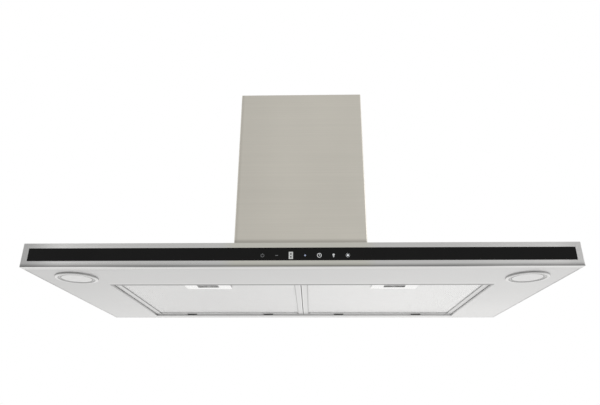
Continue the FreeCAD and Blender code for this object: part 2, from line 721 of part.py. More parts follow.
# ---------------------------------------------------------------- filters
def filter_frame(side):
    """A folded channel round the mesh, with two lugs at the back and a gap for the handle cup."""
    x = side * filter_x
    z0, z1 = filter_z, filter_z + filter_thick
    outside = block(x - filter_half, x + filter_half, filter_front_y, filter_back_y, z0, z1)
    outside = outside.makeFillet(bend_radius, [e for e in outside.Edges
                                               if all(near(v.Point.z, z0) for v in e.Vertexes)])
    b, t = filter_border, filter_sheet
    window = block(x - filter_half + b, x + filter_half - b, filter_front_y + b, filter_back_y - b,
                   z0 - 1, z1 + 1)
    channel = block(x - filter_half + t, x + filter_half - t, filter_front_y + t, filter_back_y - t,
                    z0 + t, z1 - t)
    cup_room = block(x - cup_half - 0.3, x + cup_half + 0.3, filter_front_y + t, filter_front_y + b + 1,
                     z0 - 1, z0 + t + 1)
    bolt_slot = block(x - bolt_half - 0.5, x + bolt_half + 0.5, filter_front_y - 1, filter_front_y + t + 1,
                      bolt_z - 0.4, bolt_z + bolt_thick + 0.4)
    frame = without(outside, [window, channel, cup_room, bolt_slot])
    feet = [block(x + s * lug_place - lug_width / 2, x + s * lug_place + lug_width / 2,
                  filter_back_y - t, hinge_y + lug_reach, z0, z0 + lug_thick) for s in (-1, 1)]
    return joined([frame] + feet)


def filter_mesh(side):
    """Three sheets of expanded metal, held in the frame's channel and cut away round the handle cup."""
    x = side * filter_x
    inset = filter_sheet + mesh_gap
    cup_room = block(x - cup_half - 1, x + cup_half + 1, filter_front_y, filter_front_y + cup_depth + 3,
                     filter_z, filter_z + filter_thick)
    low = filter_z + filter_sheet
    high = filter_z + filter_thick - filter_sheet - mesh_sheet
    return Part.makeCompound([
        block(x - filter_half + inset, x + filter_half - inset, filter_front_y + inset, filter_back_y - inset,
              z, z + mesh_sheet).cut(cup_room) for z in (low, (low + high) / 2, high)])


def filter_handle(side):
    """The finger plate under the filter's front edge, with the cup that houses the latch."""
    x = side * filter_x
    y0 = filter_front_y
    s = handle_sheet
    plate = block(x - handle_width / 2, x + handle_width / 2, y0 + 1, y0 + 1 + handle_depth,
                  filter_z - s, filter_z)
    plate = plate.makeFillet(3.0, [e for e in plate.Edges if near(e.Length, s)])
    cup_top = filter_z + filter_thick - filter_sheet - 0.4
    cup = block(x - cup_half, x + cup_half, y0 + filter_sheet + 0.2, y0 + 1 + cup_depth, filter_z, cup_top)
    inside = block(x - cup_half + s, x + cup_half - s, y0 + filter_sheet + 0.2 + s, y0 + 1 + cup_depth - s,
                   filter_z, cup_top - s)
    mouth = block(x - mouth_half, x + mouth_half, y0 + 6, y0 + cup_depth - 1, filter_z - 3, filter_z + 1)
    slot = block(x - bolt_half - 0.5, x + bolt_half + 0.5, y0, y0 + 3, bolt_z - 0.4,
                 bolt_z + bolt_thick + 0.4)
    handle = without(joined([plate, cup]), [inside, mouth, slot])
    rails = [block(*sorted((x + s * mouth_half, x + s * (cup_half - handle_sheet))), y0 + 2, y0 + cup_depth,
                   filter_z, latch_bottom_z - latch_gap) for s in (-1, 1)]
    return joined([handle] + rails)


def latch_slider(side):
    """The spring-loaded bolt with its finger tab."""
    x = side * filter_x
    y0 = filter_front_y + latch_front
    body = block(x - latch_half, x + latch_half, y0, y0 + latch_length, latch_bottom_z,
                 latch_bottom_z + latch_thick)
    tab = block(x - tab_half, x + tab_half, y0 + latch_length - tab_thick, y0 + latch_length,
                filter_z - tab_drop, bolt_z)
    tongue = block(x - bolt_half, x + bolt_half, filter_front_y - bolt_reach, y0 + 1, bolt_z,
                   bolt_z + bolt_thick)
    slider = joined([body, tab, tongue])
    return slider.makeFillet(0.6, [e for e in slider.Edges
                                   if all(near(v.Point.z, filter_z - tab_drop) for v in e.Vertexes)
                                   and e.Length > 2])


def latch_spring(side):
    start_y = filter_front_y + latch_front + latch_length
    end_y = filter_front_y + 1 + cup_depth - handle_sheet
    return coil(spring_r, spring_wire_r, 1.6, end_y - start_y,
                (side * filter_x, start_y, bolt_z + bolt_thick / 2), (0, 1, 0))


# ---------------------------------------------------------------- lamps
def lamp_bezel(side):
    """A proud ring with a rounded rim, a lip over the lens and a neck through the panel."""
    lip = 1.0
    low = -bezel_proud
    outline = [(lens_view_r, low + lip), (lens_view_r, low + 0.4), (lens_view_r + 0.4, low),
               (bezel_r - 2.4, low), (bezel_r - 1.1, low + 0.35), (bezel_r - 0.3, low + 1.1),
               (bezel_r, low + 2.0), (bezel_r, 0), (neck_r, 0), (neck_r, lamp_neck_height),
               (lens_r + lens_gap, lamp_neck_height), (lens_r + lens_gap, low + lip)]
    return revolved(outline, (side * lamp_x, lamp_y, under_z), "Z")


def lamp_lens(side):
    """A frosted glass disc with a slightly domed face."""
    x = side * lamp_x
    disc = rod(lens_r, (x, lamp_y, lens_z), (0, 0, 1), lens_thick)
    sphere_r = (lens_view_r ** 2 + lens_dome ** 2) / (2 * lens_dome)
    ball = Part.makeSphere(sphere_r, V(x, lamp_y, lens_z - lens_dome + sphere_r))
    cap = ball.common(rod(lens_view_r - 0.3, (x, lamp_y, lens_z - lens_dome - 0.2), (0, 0, 1), lens_dome + 0.4))
    return joined([disc, cap])


def lamp_housing(side):
    """A ribbed metal can above the lens that carries the LED board and spreads its heat."""
    x = side * lamp_x
    z0 = under_z + lamp_neck_height
    can = ring(lamp_can_r, lamp_can_r - lamp_can_wall, (x, lamp_y, z0), (0, 0, 1), lamp_can_height)
    top = rod(lamp_can_r, (x, lamp_y, z0 + lamp_can_height), (0, 0, 1), lamp_top_sheet)
    fin_reach = lamp_can_r * 0.75
    fin_places = [lamp_can_r * (0.25 * k - 0.625) for k in range(6)]
    fin_z = z0 + lamp_can_height + lamp_top_sheet
    fins = [block(x - fin_reach, x + fin_reach, lamp_y + y - fin_half, lamp_y + y + fin_half, fin_z,
                  fin_z + fin_height) for y in fin_places]
    return joined([can, top] + fins)


def lamp_boards():
    """The two LED boards, each with its emitters."""
    found = []
    for side in (-1, 1):
        x = side * lamp_x
        z = under_z + lamp_neck_height + lamp_can_height - board_thick
        board = rod(lamp_can_r - lamp_can_wall - 0.5, (x, lamp_y, z), (0, 0, 1), board_thick)
        leds = []
        for k in range(6):
            led_x = x + led_circle_r * math.cos(math.radians(60 * k))
            led_y = lamp_y + led_circle_r * math.sin(math.radians(60 * k))
            leds.append(block(led_x - led_half, led_x + led_half, led_y - led_half, led_y + led_half,
                              z - led_height, z))
        found.append(joined([board] + leds))
    return Part.makeCompound(found)


# ---------------------------------------------------------------- blower
def volute_face(offset, mouth_z):
    """The scroll's outline in the YZ plane, grown outwards by offset, as a face at X = 0."""
    a = volute_step
    centres = [(-a / 2, a / 2), (-a / 2, -a / 2), (a / 2, -a / 2), (a / 2, a / 2)]
    radii = [volute_start + k * a + offset for k in range(4)]

    def on(k, degrees):
        cy, cz = centres[k]
        t = math.radians(degrees)
        return V(0, cy + radii[k] * math.cos(t), wheel_z + cz + radii[k] * math.sin(t))

    spans = [(0, tongue_angle, 90), (1, 90, 180), (2, 180, 270), (3, 270, 360)]
    edges = [Part.Arc(on(k, d0), on(k, (d0 + d1) / 2), on(k, d1)).toShape() for k, d0, d1 in spans]
    shoulder = wheel_z + volute_reach * 0.7
    mouth_half = scroll_mouth_half + offset
    corners_yz = [on(3, 360), V(0, on(3, 360).y, shoulder), V(0, mouth_half, mouth_z - 12),
                  V(0, mouth_half, mouth_z), V(0, -mouth_half, mouth_z), V(0, -mouth_half, mouth_z - 12),
                  on(0, tongue_angle)]
    edges += [Part.LineSegment(p, q).toShape() for p, q in zip(corners_yz, corners_yz[1:])]
    return Part.Face(Part.Wire(edges))


def scroll_casing():
    mouth = cabinet_top_z - panel_sheet
    outside = volute_face(casing_wall, mouth)
    outside.translate(V(-casing_half - casing_wall, 0, 0))
    inside = volute_face(0, mouth + 1)
    inside.translate(V(-casing_half, 0, 0))
    body = outside.extrude(V(2 * (casing_half + casing_wall), 0, 0))
    hollow = inside.extrude(V(2 * casing_half, 0, 0))
    inlets = rod(inlet_hole_r, (-casing_half - 5, 0, wheel_z), (1, 0, 0), 2 * casing_half + 10)
    return without(body, [hollow, inlets])


def inlet_ring(side):
    """A bell mouth that leads the air into one side of the wheel."""
    x0 = side * (casing_half + casing_wall)
    depth = wheel_side_gap + casing_wall + 0.3
    throat = [(4.5, 2.2), (1.9, 1.2), (0.5, -1), (0, -4), (0, -depth), (1.2, -depth), (1.2, -4), (1.7, -1.6),
              (3.1, 0)]
    flange_r = inlet_hole_r + inlet_flange
    outline = [(flange_r, 0), (flange_r, 1.5)] + [(inlet_r + r, h) for r, h in throat]
    outline = [(r, side * h) for r, h in outline]
    return revolved(outline, (x0, 0, wheel_z), "X")


def impeller_hub():
    """The wheel's middle disc and hub."""
    disc = ring(wheel_disc_r, shaft_r, (-disc_half, 0, wheel_z), (1, 0, 0), 2 * disc_half)
    hub = ring(hub_r, shaft_r, (-hub_half, 0, wheel_z), (1, 0, 0), 2 * hub_half)
    return joined([disc, hub])


def impeller_blades():
    """Forward-curved blades on both sides of a middle ring, with a rim at each end."""
    middle = ring(wheel_r, wheel_disc_r, (-disc_half, 0, wheel_z), (1, 0, 0), 2 * disc_half)
    rims = [ring(wheel_r, wheel_r - rim_size, (x, 0, wheel_z), (1, 0, 0), rim_size)
            for x in (-wheel_half, wheel_half - rim_size)]
    blade = block(-wheel_half + 1, wheel_half - 1, -blade_thick / 2, blade_thick / 2, 0, blade_depth)
    blade.rotate(V(0, 0, 0), V(1, 0, 0), blade_lean)
    blade.translate(V(0, blade_ahead, wheel_r - blade_depth))
    blades = []
    for k in range(blade_count):
        one = blade.copy()
        one.rotate(V(0, 0, 0), V(1, 0, 0), 360.0 * k / blade_count)
        one.translate(V(0, 0, wheel_z))
        blades.append(one)
    return joined([middle] + rims + blades)


def motor():
    """The motor's can with its end bearings' bosses and a bore for the shaft."""
    start = (motor_back_x, 0, wheel_z)
    can = rod(motor_r, start, (1, 0, 0), motor_length)
    can = can.makeFillet(3.0, [e for e in can.Edges if near(e.Length, 2 * math.pi * motor_r)])
    bore = rod(shaft_r + running_gap, (motor_back_x - 1, 0, wheel_z), (1, 0, 0), motor_length + 2)
    grooves = [ring(motor_r + 1, motor_r - 1.5, (motor_back_x + 14 + 6 * k, 0, wheel_z), (1, 0, 0), 2)
               for k in range(4)]
    return without(can, [bore] + grooves)


def spoke_place(k):
    t = math.radians(90 + 120 * k)
    return bush_circle_r * math.cos(t), wheel_z + bush_circle_r * math.sin(t)


def motor_bracket():
    x1 = motor_back_x
    plate = rod(26, (x1 - bracket_sheet, 0, wheel_z), (1, 0, 0), bracket_sheet)
    arms = []
    for k in range(3):
        arm = block(x1 - bracket_sheet, x1, -bush_r, bush_r, 0, bush_circle_r)
        arm.rotate(V(0, 0, 0), V(1, 0, 0), 120 * k)
        arm.translate(V(0, 0, wheel_z))
        y, z = spoke_place(k)
        arms += [arm, rod(8, (x1 - bracket_sheet, y, z), (1, 0, 0), bracket_sheet)]
    holes = [rod(8, (x1 - 5, 0, wheel_z), (1, 0, 0), 10), rod(lead_r + 1, (x1 - 5, 0, wheel_z - 18),
                                                               (1, 0, 0), 10)]
    return without(joined([plate] + arms), holes)


def motor_bushes():
    """Rubber bushes between the bracket's arms and the casing."""
    length = -casing_half - casing_wall - motor_back_x
    return Part.makeCompound([rod(bush_r, (motor_back_x, *spoke_place(k)), (1, 0, 0), length)
                              for k in range(3)])


def motor_shaft():
    start = motor_back_x - shaft_past
    end = hub_half + wheel_nut_height + 2.0
    shaft = rod(shaft_r, (start, 0, wheel_z), (1, 0, 0), end - start)
    return shaft.makeChamfer(0.5, [e for e in shaft.Edges if near(e.Length, 2 * math.pi * shaft_r)])


def impeller_nut():
    return hexagon(wheel_nut_flats, wheel_nut_height, (hub_half, 0, wheel_z), (1, 0, 0), shaft_r)


def blower_cabinet():
    """The folded box round the scroll, open below, with a flange at the front and back."""
    s = panel_sheet
    box_out = block(-cabinet_half_x, cabinet_half_x, -cabinet_half_y, cabinet_half_y, top_z, cabinet_top_z)
    box_out = box_out.makeFillet(bend_radius + s, [e for e in box_out.Edges if near(e.Length, cabinet_height)])
    box_in = block(-cabinet_half_x + s, cabinet_half_x - s, -cabinet_half_y + s, cabinet_half_y - s,
                   top_z - 1, cabinet_top_z - s)
    hole = rod(collar_r - 2, (0, 0, cabinet_top_z - 5), (0, 0, 1), 10)
    shell = without(box_out, [box_in, hole])
    flange_y = (cabinet_half_y, cabinet_half_y + cabinet_flange)
    flanges = [block(-flange_half, flange_half, *sorted((sy * flange_y[0], sy * flange_y[1])), top_z, top_z + s)
               for sy in (-1, 1)]
    holes = [rod(foot_screw_r + screw_gap, (sx * cabinet_screw_x, sy * cabinet_screw_y, top_z - 1),
                 (0, 0, 1), 4) for sx, sy in corners()]
    return without(joined([shell] + flanges), holes)


def outlet_collar():
    """The round spigot that the duct slips over, with a stop ring under the damper."""
    z0 = cabinet_top_z
    tube = ring(collar_r, collar_r - collar_wall, (0, 0, z0), (0, 0, 1), collar_height)
    flange = ring(cabinet_half_x - 2, collar_r - collar_wall, (0, 0, z0), (0, 0, 1), 1.5)
    stop_top = damper_z - flap_sheet / 2 - 0.4
    stop = ring(collar_r - 0.5, collar_r - 5, (0, 0, stop_top - 1.2), (0, 0, 1), 1.2)
    pin_holes = rod(damper_pin_r, (-collar_r - 5, 0, damper_z), (1, 0, 0), 2 * collar_r + 10)
    pin_room = block(-collar_r + 1, collar_r - 1, -4, 4, z0 - 1, damper_z)
    pin_room = pin_room.common(rod(collar_r - collar_wall, (0, 0, z0 - 1), (0, 0, 1), collar_height))
    return without(joined([tube, flange, stop]), [pin_holes, pin_room])


def damper_pin():
    return rod(damper_pin_r, (-collar_r, 0, damper_z), (1, 0, 0), 2 * collar_r)


def damper_flap(side):
    """A half disc on knuckles round the pin. side is -1 for the front flap and 1 for the back flap."""
    reach = collar_r - collar_wall - flap_gap
    z0 = damper_z - flap_sheet / 2
    disc = rod(reach, (0, 0, z0), (0, 0, 1), flap_sheet)
    half = disc.common(block(-reach, reach, *sorted((side * (knuckle_r + 0.4), side * reach)), z0 - 1, z0 + 2))
    run = scroll_mouth_half
    span = 2 * run / knuckle_spans
    pieces = [half]
    for k in range(knuckle_spans):
        if (k % 2 == 0) == (side < 0):
            x0 = -run + k * span + knuckle_gap
            pieces.append(rod(knuckle_r, (x0, 0, damper_z), (1, 0, 0), span - 2 * knuckle_gap))
            web_y = sorted((side * knuckle_r / 2, side * (knuckle_r + over)))
            pieces.append(block(x0, x0 + span - 2 * knuckle_gap, *web_y, z0, z0 + flap_sheet))
    bore = rod(damper_pin_r + running_gap, (-collar_r, 0, damper_z), (1, 0, 0), 2 * collar_r)
    return joined(pieces).cut(bore)


# ---------------------------------------------------------------- electrics
def control_box():
    """A plastic box hung under the canopy's top, open below for its cover."""
    half = box_width / 2
    body = block(-half, half, box_front_y, box_back_y, box_bottom_z + box_wall, inner_top_z)
    body = body.makeFillet(3.0, [e for e in body.Edges if near(e.Length, box_height - box_wall)])
    room = block(-half + box_wall, half - box_wall, box_front_y + box_wall, box_back_y - box_wall,
                 box_bottom_z, inner_top_z - box_wall)
    gates = [rod(lead_r + 0.3, (s * (half + 1), lamp_lead_y, lead_z), (-s, 0, 0), 5) for s in (-1, 1)]
    gates.append(rod(lead_r + 0.3, (motor_lead_x, box_back_y + 1, lead_z), (0, -1, 0), 5))
    gates.append(block(touch_x - flat_lead_half - 0.5, touch_x + flat_lead_half + 0.5, box_front_y - over,
                       box_front_y + box_wall + over, key_z - 1.2, key_z + 1.2))
    return without(body, [room] + gates)


def control_box_cover():
    half = box_width / 2
    plate = block(-half, half, box_front_y, box_back_y, box_bottom_z, box_bottom_z + box_wall)
    plate = plate.makeFillet(3.0, [e for e in plate.Edges if near(e.Length, box_wall)])
    lip = block(-half + box_wall + 0.3, half - box_wall - 0.3, box_front_y + box_wall + 0.3,
                box_back_y - box_wall - 0.3, box_bottom_z + box_wall, box_bottom_z + box_wall + 2)
    lip = lip.cut(block(-half + box_wall + 1.8, half - box_wall - 1.8, box_front_y + box_wall + 1.8,
                        box_back_y - box_wall - 1.8, box_bottom_z, box_bottom_z + 10))
    return joined([plate, lip])


def control_board():
    """The power board, with its transformer, relays, capacitor and terminal block."""
    z1 = inner_top_z - box_wall - 3.0
    y0 = box_front_y + 8
    board = block(-80, 80, y0, y0 + 70, z1 - board_thick, z1)
    low = z1 - board_thick
    heavy = [block(-70, -38, y0 + 8, y0 + 36, low - 14, low),
             block(-66, -42, y0 + 12, y0 + 32, low - 15.5, low)]
    relays = [block(-20 + 18 * k, -6 + 18 * k, y0 + 44, y0 + 62, low - 10, low) for k in range(4)]
    can = rod(6, (-24, y0 + 20, low - 13), (0, 0, 1), 13)
    terminal = block(20, 68, y0 + 6, y0 + 18, low - 9, low)
    mounts = [rod(3, (sx * 74, y0 + 35 + sy * 29, z1), (0, 0, 1), 3) for sx, sy in corners()]
    return joined([board] + heavy + relays + [can, terminal] + mounts)


def mains_gland():
    """A cable gland through the canopy's top, inside the chimney, with its lock nut below."""
    body = ring(9.5, gland_bore_r, (gland_x, 0, top_z), (0, 0, 1), 6)
    neck = ring(gland_neck_r, gland_bore_r, (gland_x, 0, top_z - 7), (0, 0, 1), 8)
    nut = hexagon(19, 4, (gland_x, 0, inner_top_z - 4), (0, 0, 1), gland_neck_r + running_gap)
    return Part.makeCompound([joined([body, neck]), nut])


def run_capacitor():
    x0 = box_width / 2 + 22
    z = inner_top_z - capacitor_r - 1
    can = rod(capacitor_r, (x0, lamp_y + 8, z), (1, 0, 0), capacitor_length)
    can = can.makeFillet(1.5, [e for e in can.Edges if near(e.Length, 2 * math.pi * capacitor_r)])
    tabs = [block(x0 - 6, x0 + 1, lamp_y + 8 + t - 0.4, lamp_y + 8 + t + 0.4, z - 3, z + 3) for t in (-5, 5)]
    return joined([can] + tabs)


def lamp_leads():
    """The two leads from the control box to the lamps."""
    x_end = lamp_x - lamp_can_r
    z_end = under_z + 20.0
    start = box_width / 2
    span = x_end - start
    found = []
    for s in (-1, 1):
        points = [(s * start, lamp_lead_y, lead_z), (s * (start + span * 0.12), lamp_lead_y, lead_z),
                  (s * (start + span * 0.30), lamp_lead_y - 5, lead_z - 1),
                  (s * (start + span * 0.50), lamp_lead_y - 3, lead_z),
                  (s * (start + span * 0.70), lamp_lead_y + 6, lead_z + 1),
                  (s * (start + span * 0.86), lamp_y, z_end), (s * x_end, lamp_y, z_end)]
        found.append(lead(points, lead_r))
    return Part.makeCompound(found)


def motor_lead():
    """The lead from the control box up through the intake to the motor."""
    x = -(cabinet_half_x + casing_half + casing_wall) / 2 - 3.0
    z_end = wheel_z - 18
    points = [(motor_lead_x, box_back_y, lead_z), (motor_lead_x, box_back_y + 14, lead_z),
              (motor_lead_x - 4, box_back_y + 34, lead_z + 2), (x, -62, lead_z + 14), (x, -36, top_z + 14),
              (x, -12, top_z + 44), (x, 0, z_end - 12), (x + 3, 0, z_end), (motor_back_x, 0, z_end)]
    return lead(points, lead_r)


def touch_lead():
    """The flat cable from the touch board to the control box."""
    y0 = board_y + board_thick + board_socket
    return block(touch_x - flat_lead_half, touch_x + flat_lead_half, y0, box_front_y + flat_lead_end,
                 key_z - flat_lead_sheet / 2, key_z + flat_lead_sheet / 2)


# ---------------------------------------------------------------- build
def build():
    os.makedirs("parts", exist_ok=True)
    save("ceiling_plate", ceiling_plate())
    save("upper_posts", Part.makeCompound([upper_post(sx, sy) for sx, sy in corners()]))
    save("lower_posts", Part.makeCompound([lower_post(sx, sy) for sx, sy in corners()]))
    save("clamp_bolts", clamp_bolts())
    save("frame_screws", frame_screws())
    for side, place in ((-1, "front"), (1, "back")):
        save("upper_cover_" + place, upper_cover(side))
        save("lower_cover_" + place, lower_cover(side))
        save("damper_flap_" + place, damper_flap(side))
    save("upper_cover_screws", upper_cover_screws())
    save("lower_cover_screws", lower_cover_screws())
    save("canopy_top", canopy_top())
    save("canopy_skirt", canopy_skirt())
    save("underside_panel", underside_panel())
    save("canopy_screws", canopy_screws())
    save("fascia_frame", fascia_frame())
    save("fascia_glass", fascia_glass())
    save("touch_board", touch_board())
    save("touch_springs", touch_springs())
    save("display_module", display_module())
    for side, place in ((-1, "left"), (1, "right")):
        save("filter_frame_" + place, filter_frame(side))
        save("filter_mesh_" + place, filter_mesh(side))
        save("filter_handle_" + place, filter_handle(side))
        save("latch_slider_" + place, latch_slider(side))
        save("latch_spring_" + place, latch_spring(side))
        save("lamp_bezel_" + place, lamp_bezel(side))
        save("lamp_lens_" + place, lamp_lens(side))
        save("lamp_housing_" + place, lamp_housing(side))
        save("inlet_ring_" + place, inlet_ring(side))
    save("lamp_boards", lamp_boards())
    save("scroll_casing", scroll_casing())
    save("impeller_hub", impeller_hub())
    save("impeller_blades", impeller_blades())
    save("impeller_nut", impeller_nut())
    save("motor_shaft", motor_shaft())
    save("motor", motor())
    save("motor_bracket", motor_bracket())
    save("motor_bushes", motor_bushes())
    save("blower_cabinet", blower_cabinet())
    save("outlet_collar", outlet_collar())
    save("damper_pin", damper_pin())
    save("control_box", control_box())
    save("control_box_cover", control_box_cover())
    save("control_board", control_board())
    save("mains_gland", mains_gland())
    save("run_capacitor", run_capacitor())
    save("lamp_leads", lamp_leads())
    save("motor_lead", motor_lead())
    save("touch_lead", touch_lead())


build()
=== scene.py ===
# %% [markdown]
# # A range hood, finished in Blender
# The frame of this scene is a model of a kitchen hood that already has its true sizes: a square chimney of
# folded steel, a wide flat canopy, and the blower, lamps and filters inside. Nothing in that frame is moved.
# What is made here is how it looks: the brushing of the steel, the black glass with its lit signs, the woven
# layers of the grease filters, and a plain studio to see them in.

# %% Load the frame
import math

import bmesh
import bpy
from mathutils import Matrix, Vector


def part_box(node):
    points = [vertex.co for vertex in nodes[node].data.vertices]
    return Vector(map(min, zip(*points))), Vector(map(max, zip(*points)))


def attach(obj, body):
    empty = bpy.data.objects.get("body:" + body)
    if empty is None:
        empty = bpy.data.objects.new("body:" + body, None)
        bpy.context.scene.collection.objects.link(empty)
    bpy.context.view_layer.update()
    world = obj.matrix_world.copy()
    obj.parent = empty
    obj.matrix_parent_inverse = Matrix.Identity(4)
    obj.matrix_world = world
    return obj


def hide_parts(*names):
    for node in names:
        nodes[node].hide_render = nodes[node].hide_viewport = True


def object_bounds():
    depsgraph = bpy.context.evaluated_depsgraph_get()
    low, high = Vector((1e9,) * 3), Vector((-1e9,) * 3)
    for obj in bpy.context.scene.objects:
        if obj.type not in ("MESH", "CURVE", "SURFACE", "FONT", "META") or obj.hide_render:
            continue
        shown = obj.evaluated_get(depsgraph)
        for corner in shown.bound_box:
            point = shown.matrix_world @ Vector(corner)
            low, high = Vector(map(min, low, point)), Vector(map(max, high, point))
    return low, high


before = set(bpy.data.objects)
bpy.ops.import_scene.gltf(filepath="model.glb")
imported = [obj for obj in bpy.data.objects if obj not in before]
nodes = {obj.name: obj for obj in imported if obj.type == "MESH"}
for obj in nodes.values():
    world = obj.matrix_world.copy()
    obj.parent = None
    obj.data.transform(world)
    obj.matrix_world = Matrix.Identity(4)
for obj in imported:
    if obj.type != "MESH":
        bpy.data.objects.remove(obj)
cad_box = [list(corner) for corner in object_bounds()]

# %% [markdown]
# ## The camera
# The hood is seen from below and close by, as a cook sees it: the lens is a little wide, the chimney narrows
# upwards, and most of what shows of the canopy is its underside. The camera's place is set from the hood's own
# box, so that it would follow a hood of another size. Its three axes are worked out from a small turn to the
# left, a steep tilt up and a hair of roll, because that is how a hand-held camera is described best.

# %% Place the camera
under_low, under_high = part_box("underside_panel")
front_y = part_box("fascia_frame")[0].y
camera_place = Vector((0.0192, front_y - 0.7986, under_low.z - 0.2226))
turn_left, tilt_up, roll = (math.radians(angle) for angle in (1.31, 22.61, 0.21))
lens_mm = 31.1


def camera_axes(turn, tilt, rolled):
    """Right, up and backward of a camera that first turns, then tilts and then rolls."""
    forward = Vector((-math.sin(turn) * math.cos(tilt), math.cos(turn) * math.cos(tilt), math.sin(tilt)))
    level = Vector((math.cos(turn), math.sin(turn), 0.0))
    upright = level.cross(forward)
    right = level * math.cos(rolled) + upright * math.sin(rolled)
    return right, right.cross(forward), -forward


camera_data = bpy.data.cameras.new("kitchen_camera")
camera_data.lens = lens_mm
camera = bpy.data.objects.new("kitchen_camera", camera_data)
bpy.context.scene.collection.objects.link(camera)
axes = Matrix(camera_axes(turn_left, tilt_up, roll)).transposed()
camera.matrix_world = Matrix.Translation(camera_place) @ axes.to_4x4()
bpy.context.scene.camera = camera
print("camera at", [round(v, 3) for v in camera_place])

# %% [markdown]
# ## The studio
# Brushed steel has hardly a colour of its own: it shows a blurred picture of the room. A row of lamps would draw
# hard bars on it, so this room is one broad gradient of white, dim on the side of the camera and bright behind
# and below the hood. That alone gives the bright underside and the quieter chimney. Rays that go straight from
# the camera to the room meet plain white, and a pale floor lies far below, where the kitchen's floor would be.

# %% Build the room of light
BRIGHT_SIDE = Vector((0.30, 0.80, -0.52)).normalized()
DIM_LEVEL, BRIGHT_LEVEL = 0.60, 1.02


def add(tree, kind, values=None, links=None, **settings):
    """Adds a node, with its settings, its own values and the sockets that feed it."""
    node = tree.nodes.new(kind)
    for key, value in settings.items():
        setattr(node, key, value)
    for socket, value in (values or {}).items():
        node.inputs[socket].default_value = value
    for socket, source in (links or {}).items():
        tree.links.new(source, node.inputs[socket])
    return node


def room_of_light():
    world = bpy.data.worlds.new("studio")
    world.use_nodes = True
    tree = world.node_tree
    tree.nodes.clear()
    way = add(tree, "ShaderNodeTexCoord").outputs["Generated"]
    toward = add(tree, "ShaderNodeVectorMath", {1: BRIGHT_SIDE}, {0: way}, operation="DOT_PRODUCT")
    level = add(tree, "ShaderNodeMapRange", {"From Min": -1.0, "From Max": 1.0, "To Min": DIM_LEVEL,
                                             "To Max": BRIGHT_LEVEL}, {"Value": toward.outputs["Value"]},
                interpolation_type="SMOOTHSTEP")
    lit = add(tree, "ShaderNodeBackground", {"Color": (1.0, 0.995, 0.985, 1.0)},
              {"Strength": level.outputs["Result"]})
    plain = add(tree, "ShaderNodeBackground", {"Color": (1.0, 1.0, 1.0, 1.0), "Strength": 1.0})
    seen = add(tree, "ShaderNodeLightPath").outputs["Is Camera Ray"]
    both = add(tree, "ShaderNodeMixShader", None, {0: seen, 1: lit.outputs[0], 2: plain.outputs[0]})
    add(tree, "ShaderNodeOutputWorld", None, {"Surface": both.outputs[0]})
    bpy.context.scene.world = world


room_of_light()
bpy.context.scene.view_settings.view_transform = "Standard"
print("room: from", DIM_LEVEL, "to", BRIGHT_LEVEL)

# %% Add two soft lamps and the floor
FLOOR_DROP, FLOOR_SIZE = 1.75, 5.0


def soft_lamp(name, place, aim, size, power):
    """A large square lamp that points at a place."""
    data = bpy.data.lights.new(name, "AREA")
    data.size = size
    data.energy = power
    lamp = bpy.data.objects.new(name, data)
    bpy.context.scene.collection.objects.link(lamp)
    place, aim = Vector(place), Vector(aim)
    lamp.location = place
    lamp.rotation_mode = "QUATERNION"
    lamp.rotation_quaternion = (aim - place).to_track_quat("-Z", "Y")


middle = (Vector(cad_box[0]) + Vector(cad_box[1])) / 2
soft_lamp("softbox_right", middle + Vector((2.2, -1.2, 0.4)), middle, 1.6, 14.0)
soft_lamp("softbox_left", middle + Vector((-2.4, -1.8, 1.2)), middle, 2.0, 10.0)
bpy.ops.mesh.primitive_plane_add(size=FLOOR_SIZE, location=(0.0, 0.0, under_low.z - FLOOR_DROP))
floor = bpy.context.object
floor.name = "studio_floor"
print("floor at", round(under_low.z - FLOOR_DROP, 3))

# %% [markdown]
# ## Brushed steel as one shared group
# A belt of fine grit draws thousands of parallel scratches in the sheet. They could be an image, but a stretched
# noise does better: where it is squeezed across the scratches and pulled out along them, each becomes a long
# thin line, at any size. The same noise moves the colour, the roughness and the bump, because on the real sheet
# all three come from the same scratch. A slow cloudy noise adds the uneven sheen that a large sheet has.

# %% Build the brushed grain group


def shader_group(name, inputs, outputs):
    """An empty node group with named sockets. Returns the tree, its input node and its output node."""
    tree = bpy.data.node_groups.new(name, "ShaderNodeTree")
    for label, kind, value in inputs:
        socket = tree.interface.new_socket(label, in_out="INPUT", socket_type="NodeSocket" + kind)
        socket.default_value = value
    for label, kind in outputs:
        tree.interface.new_socket(label, in_out="OUTPUT", socket_type="NodeSocket" + kind)
    return tree, tree.nodes.new("NodeGroupInput"), tree.nodes.new("NodeGroupOutput")


def maths(tree, operation, first, second):
    """One sum of two things, each a socket or a plain number."""
    node = tree.nodes.new("ShaderNodeMath")
    node.operation = operation
    for place, thing in enumerate((first, second)):
        if isinstance(thing, (int, float)):
            node.inputs[place].default_value = thing
        else:
            tree.links.new(thing, node.inputs[place])
    return node.outputs[0]


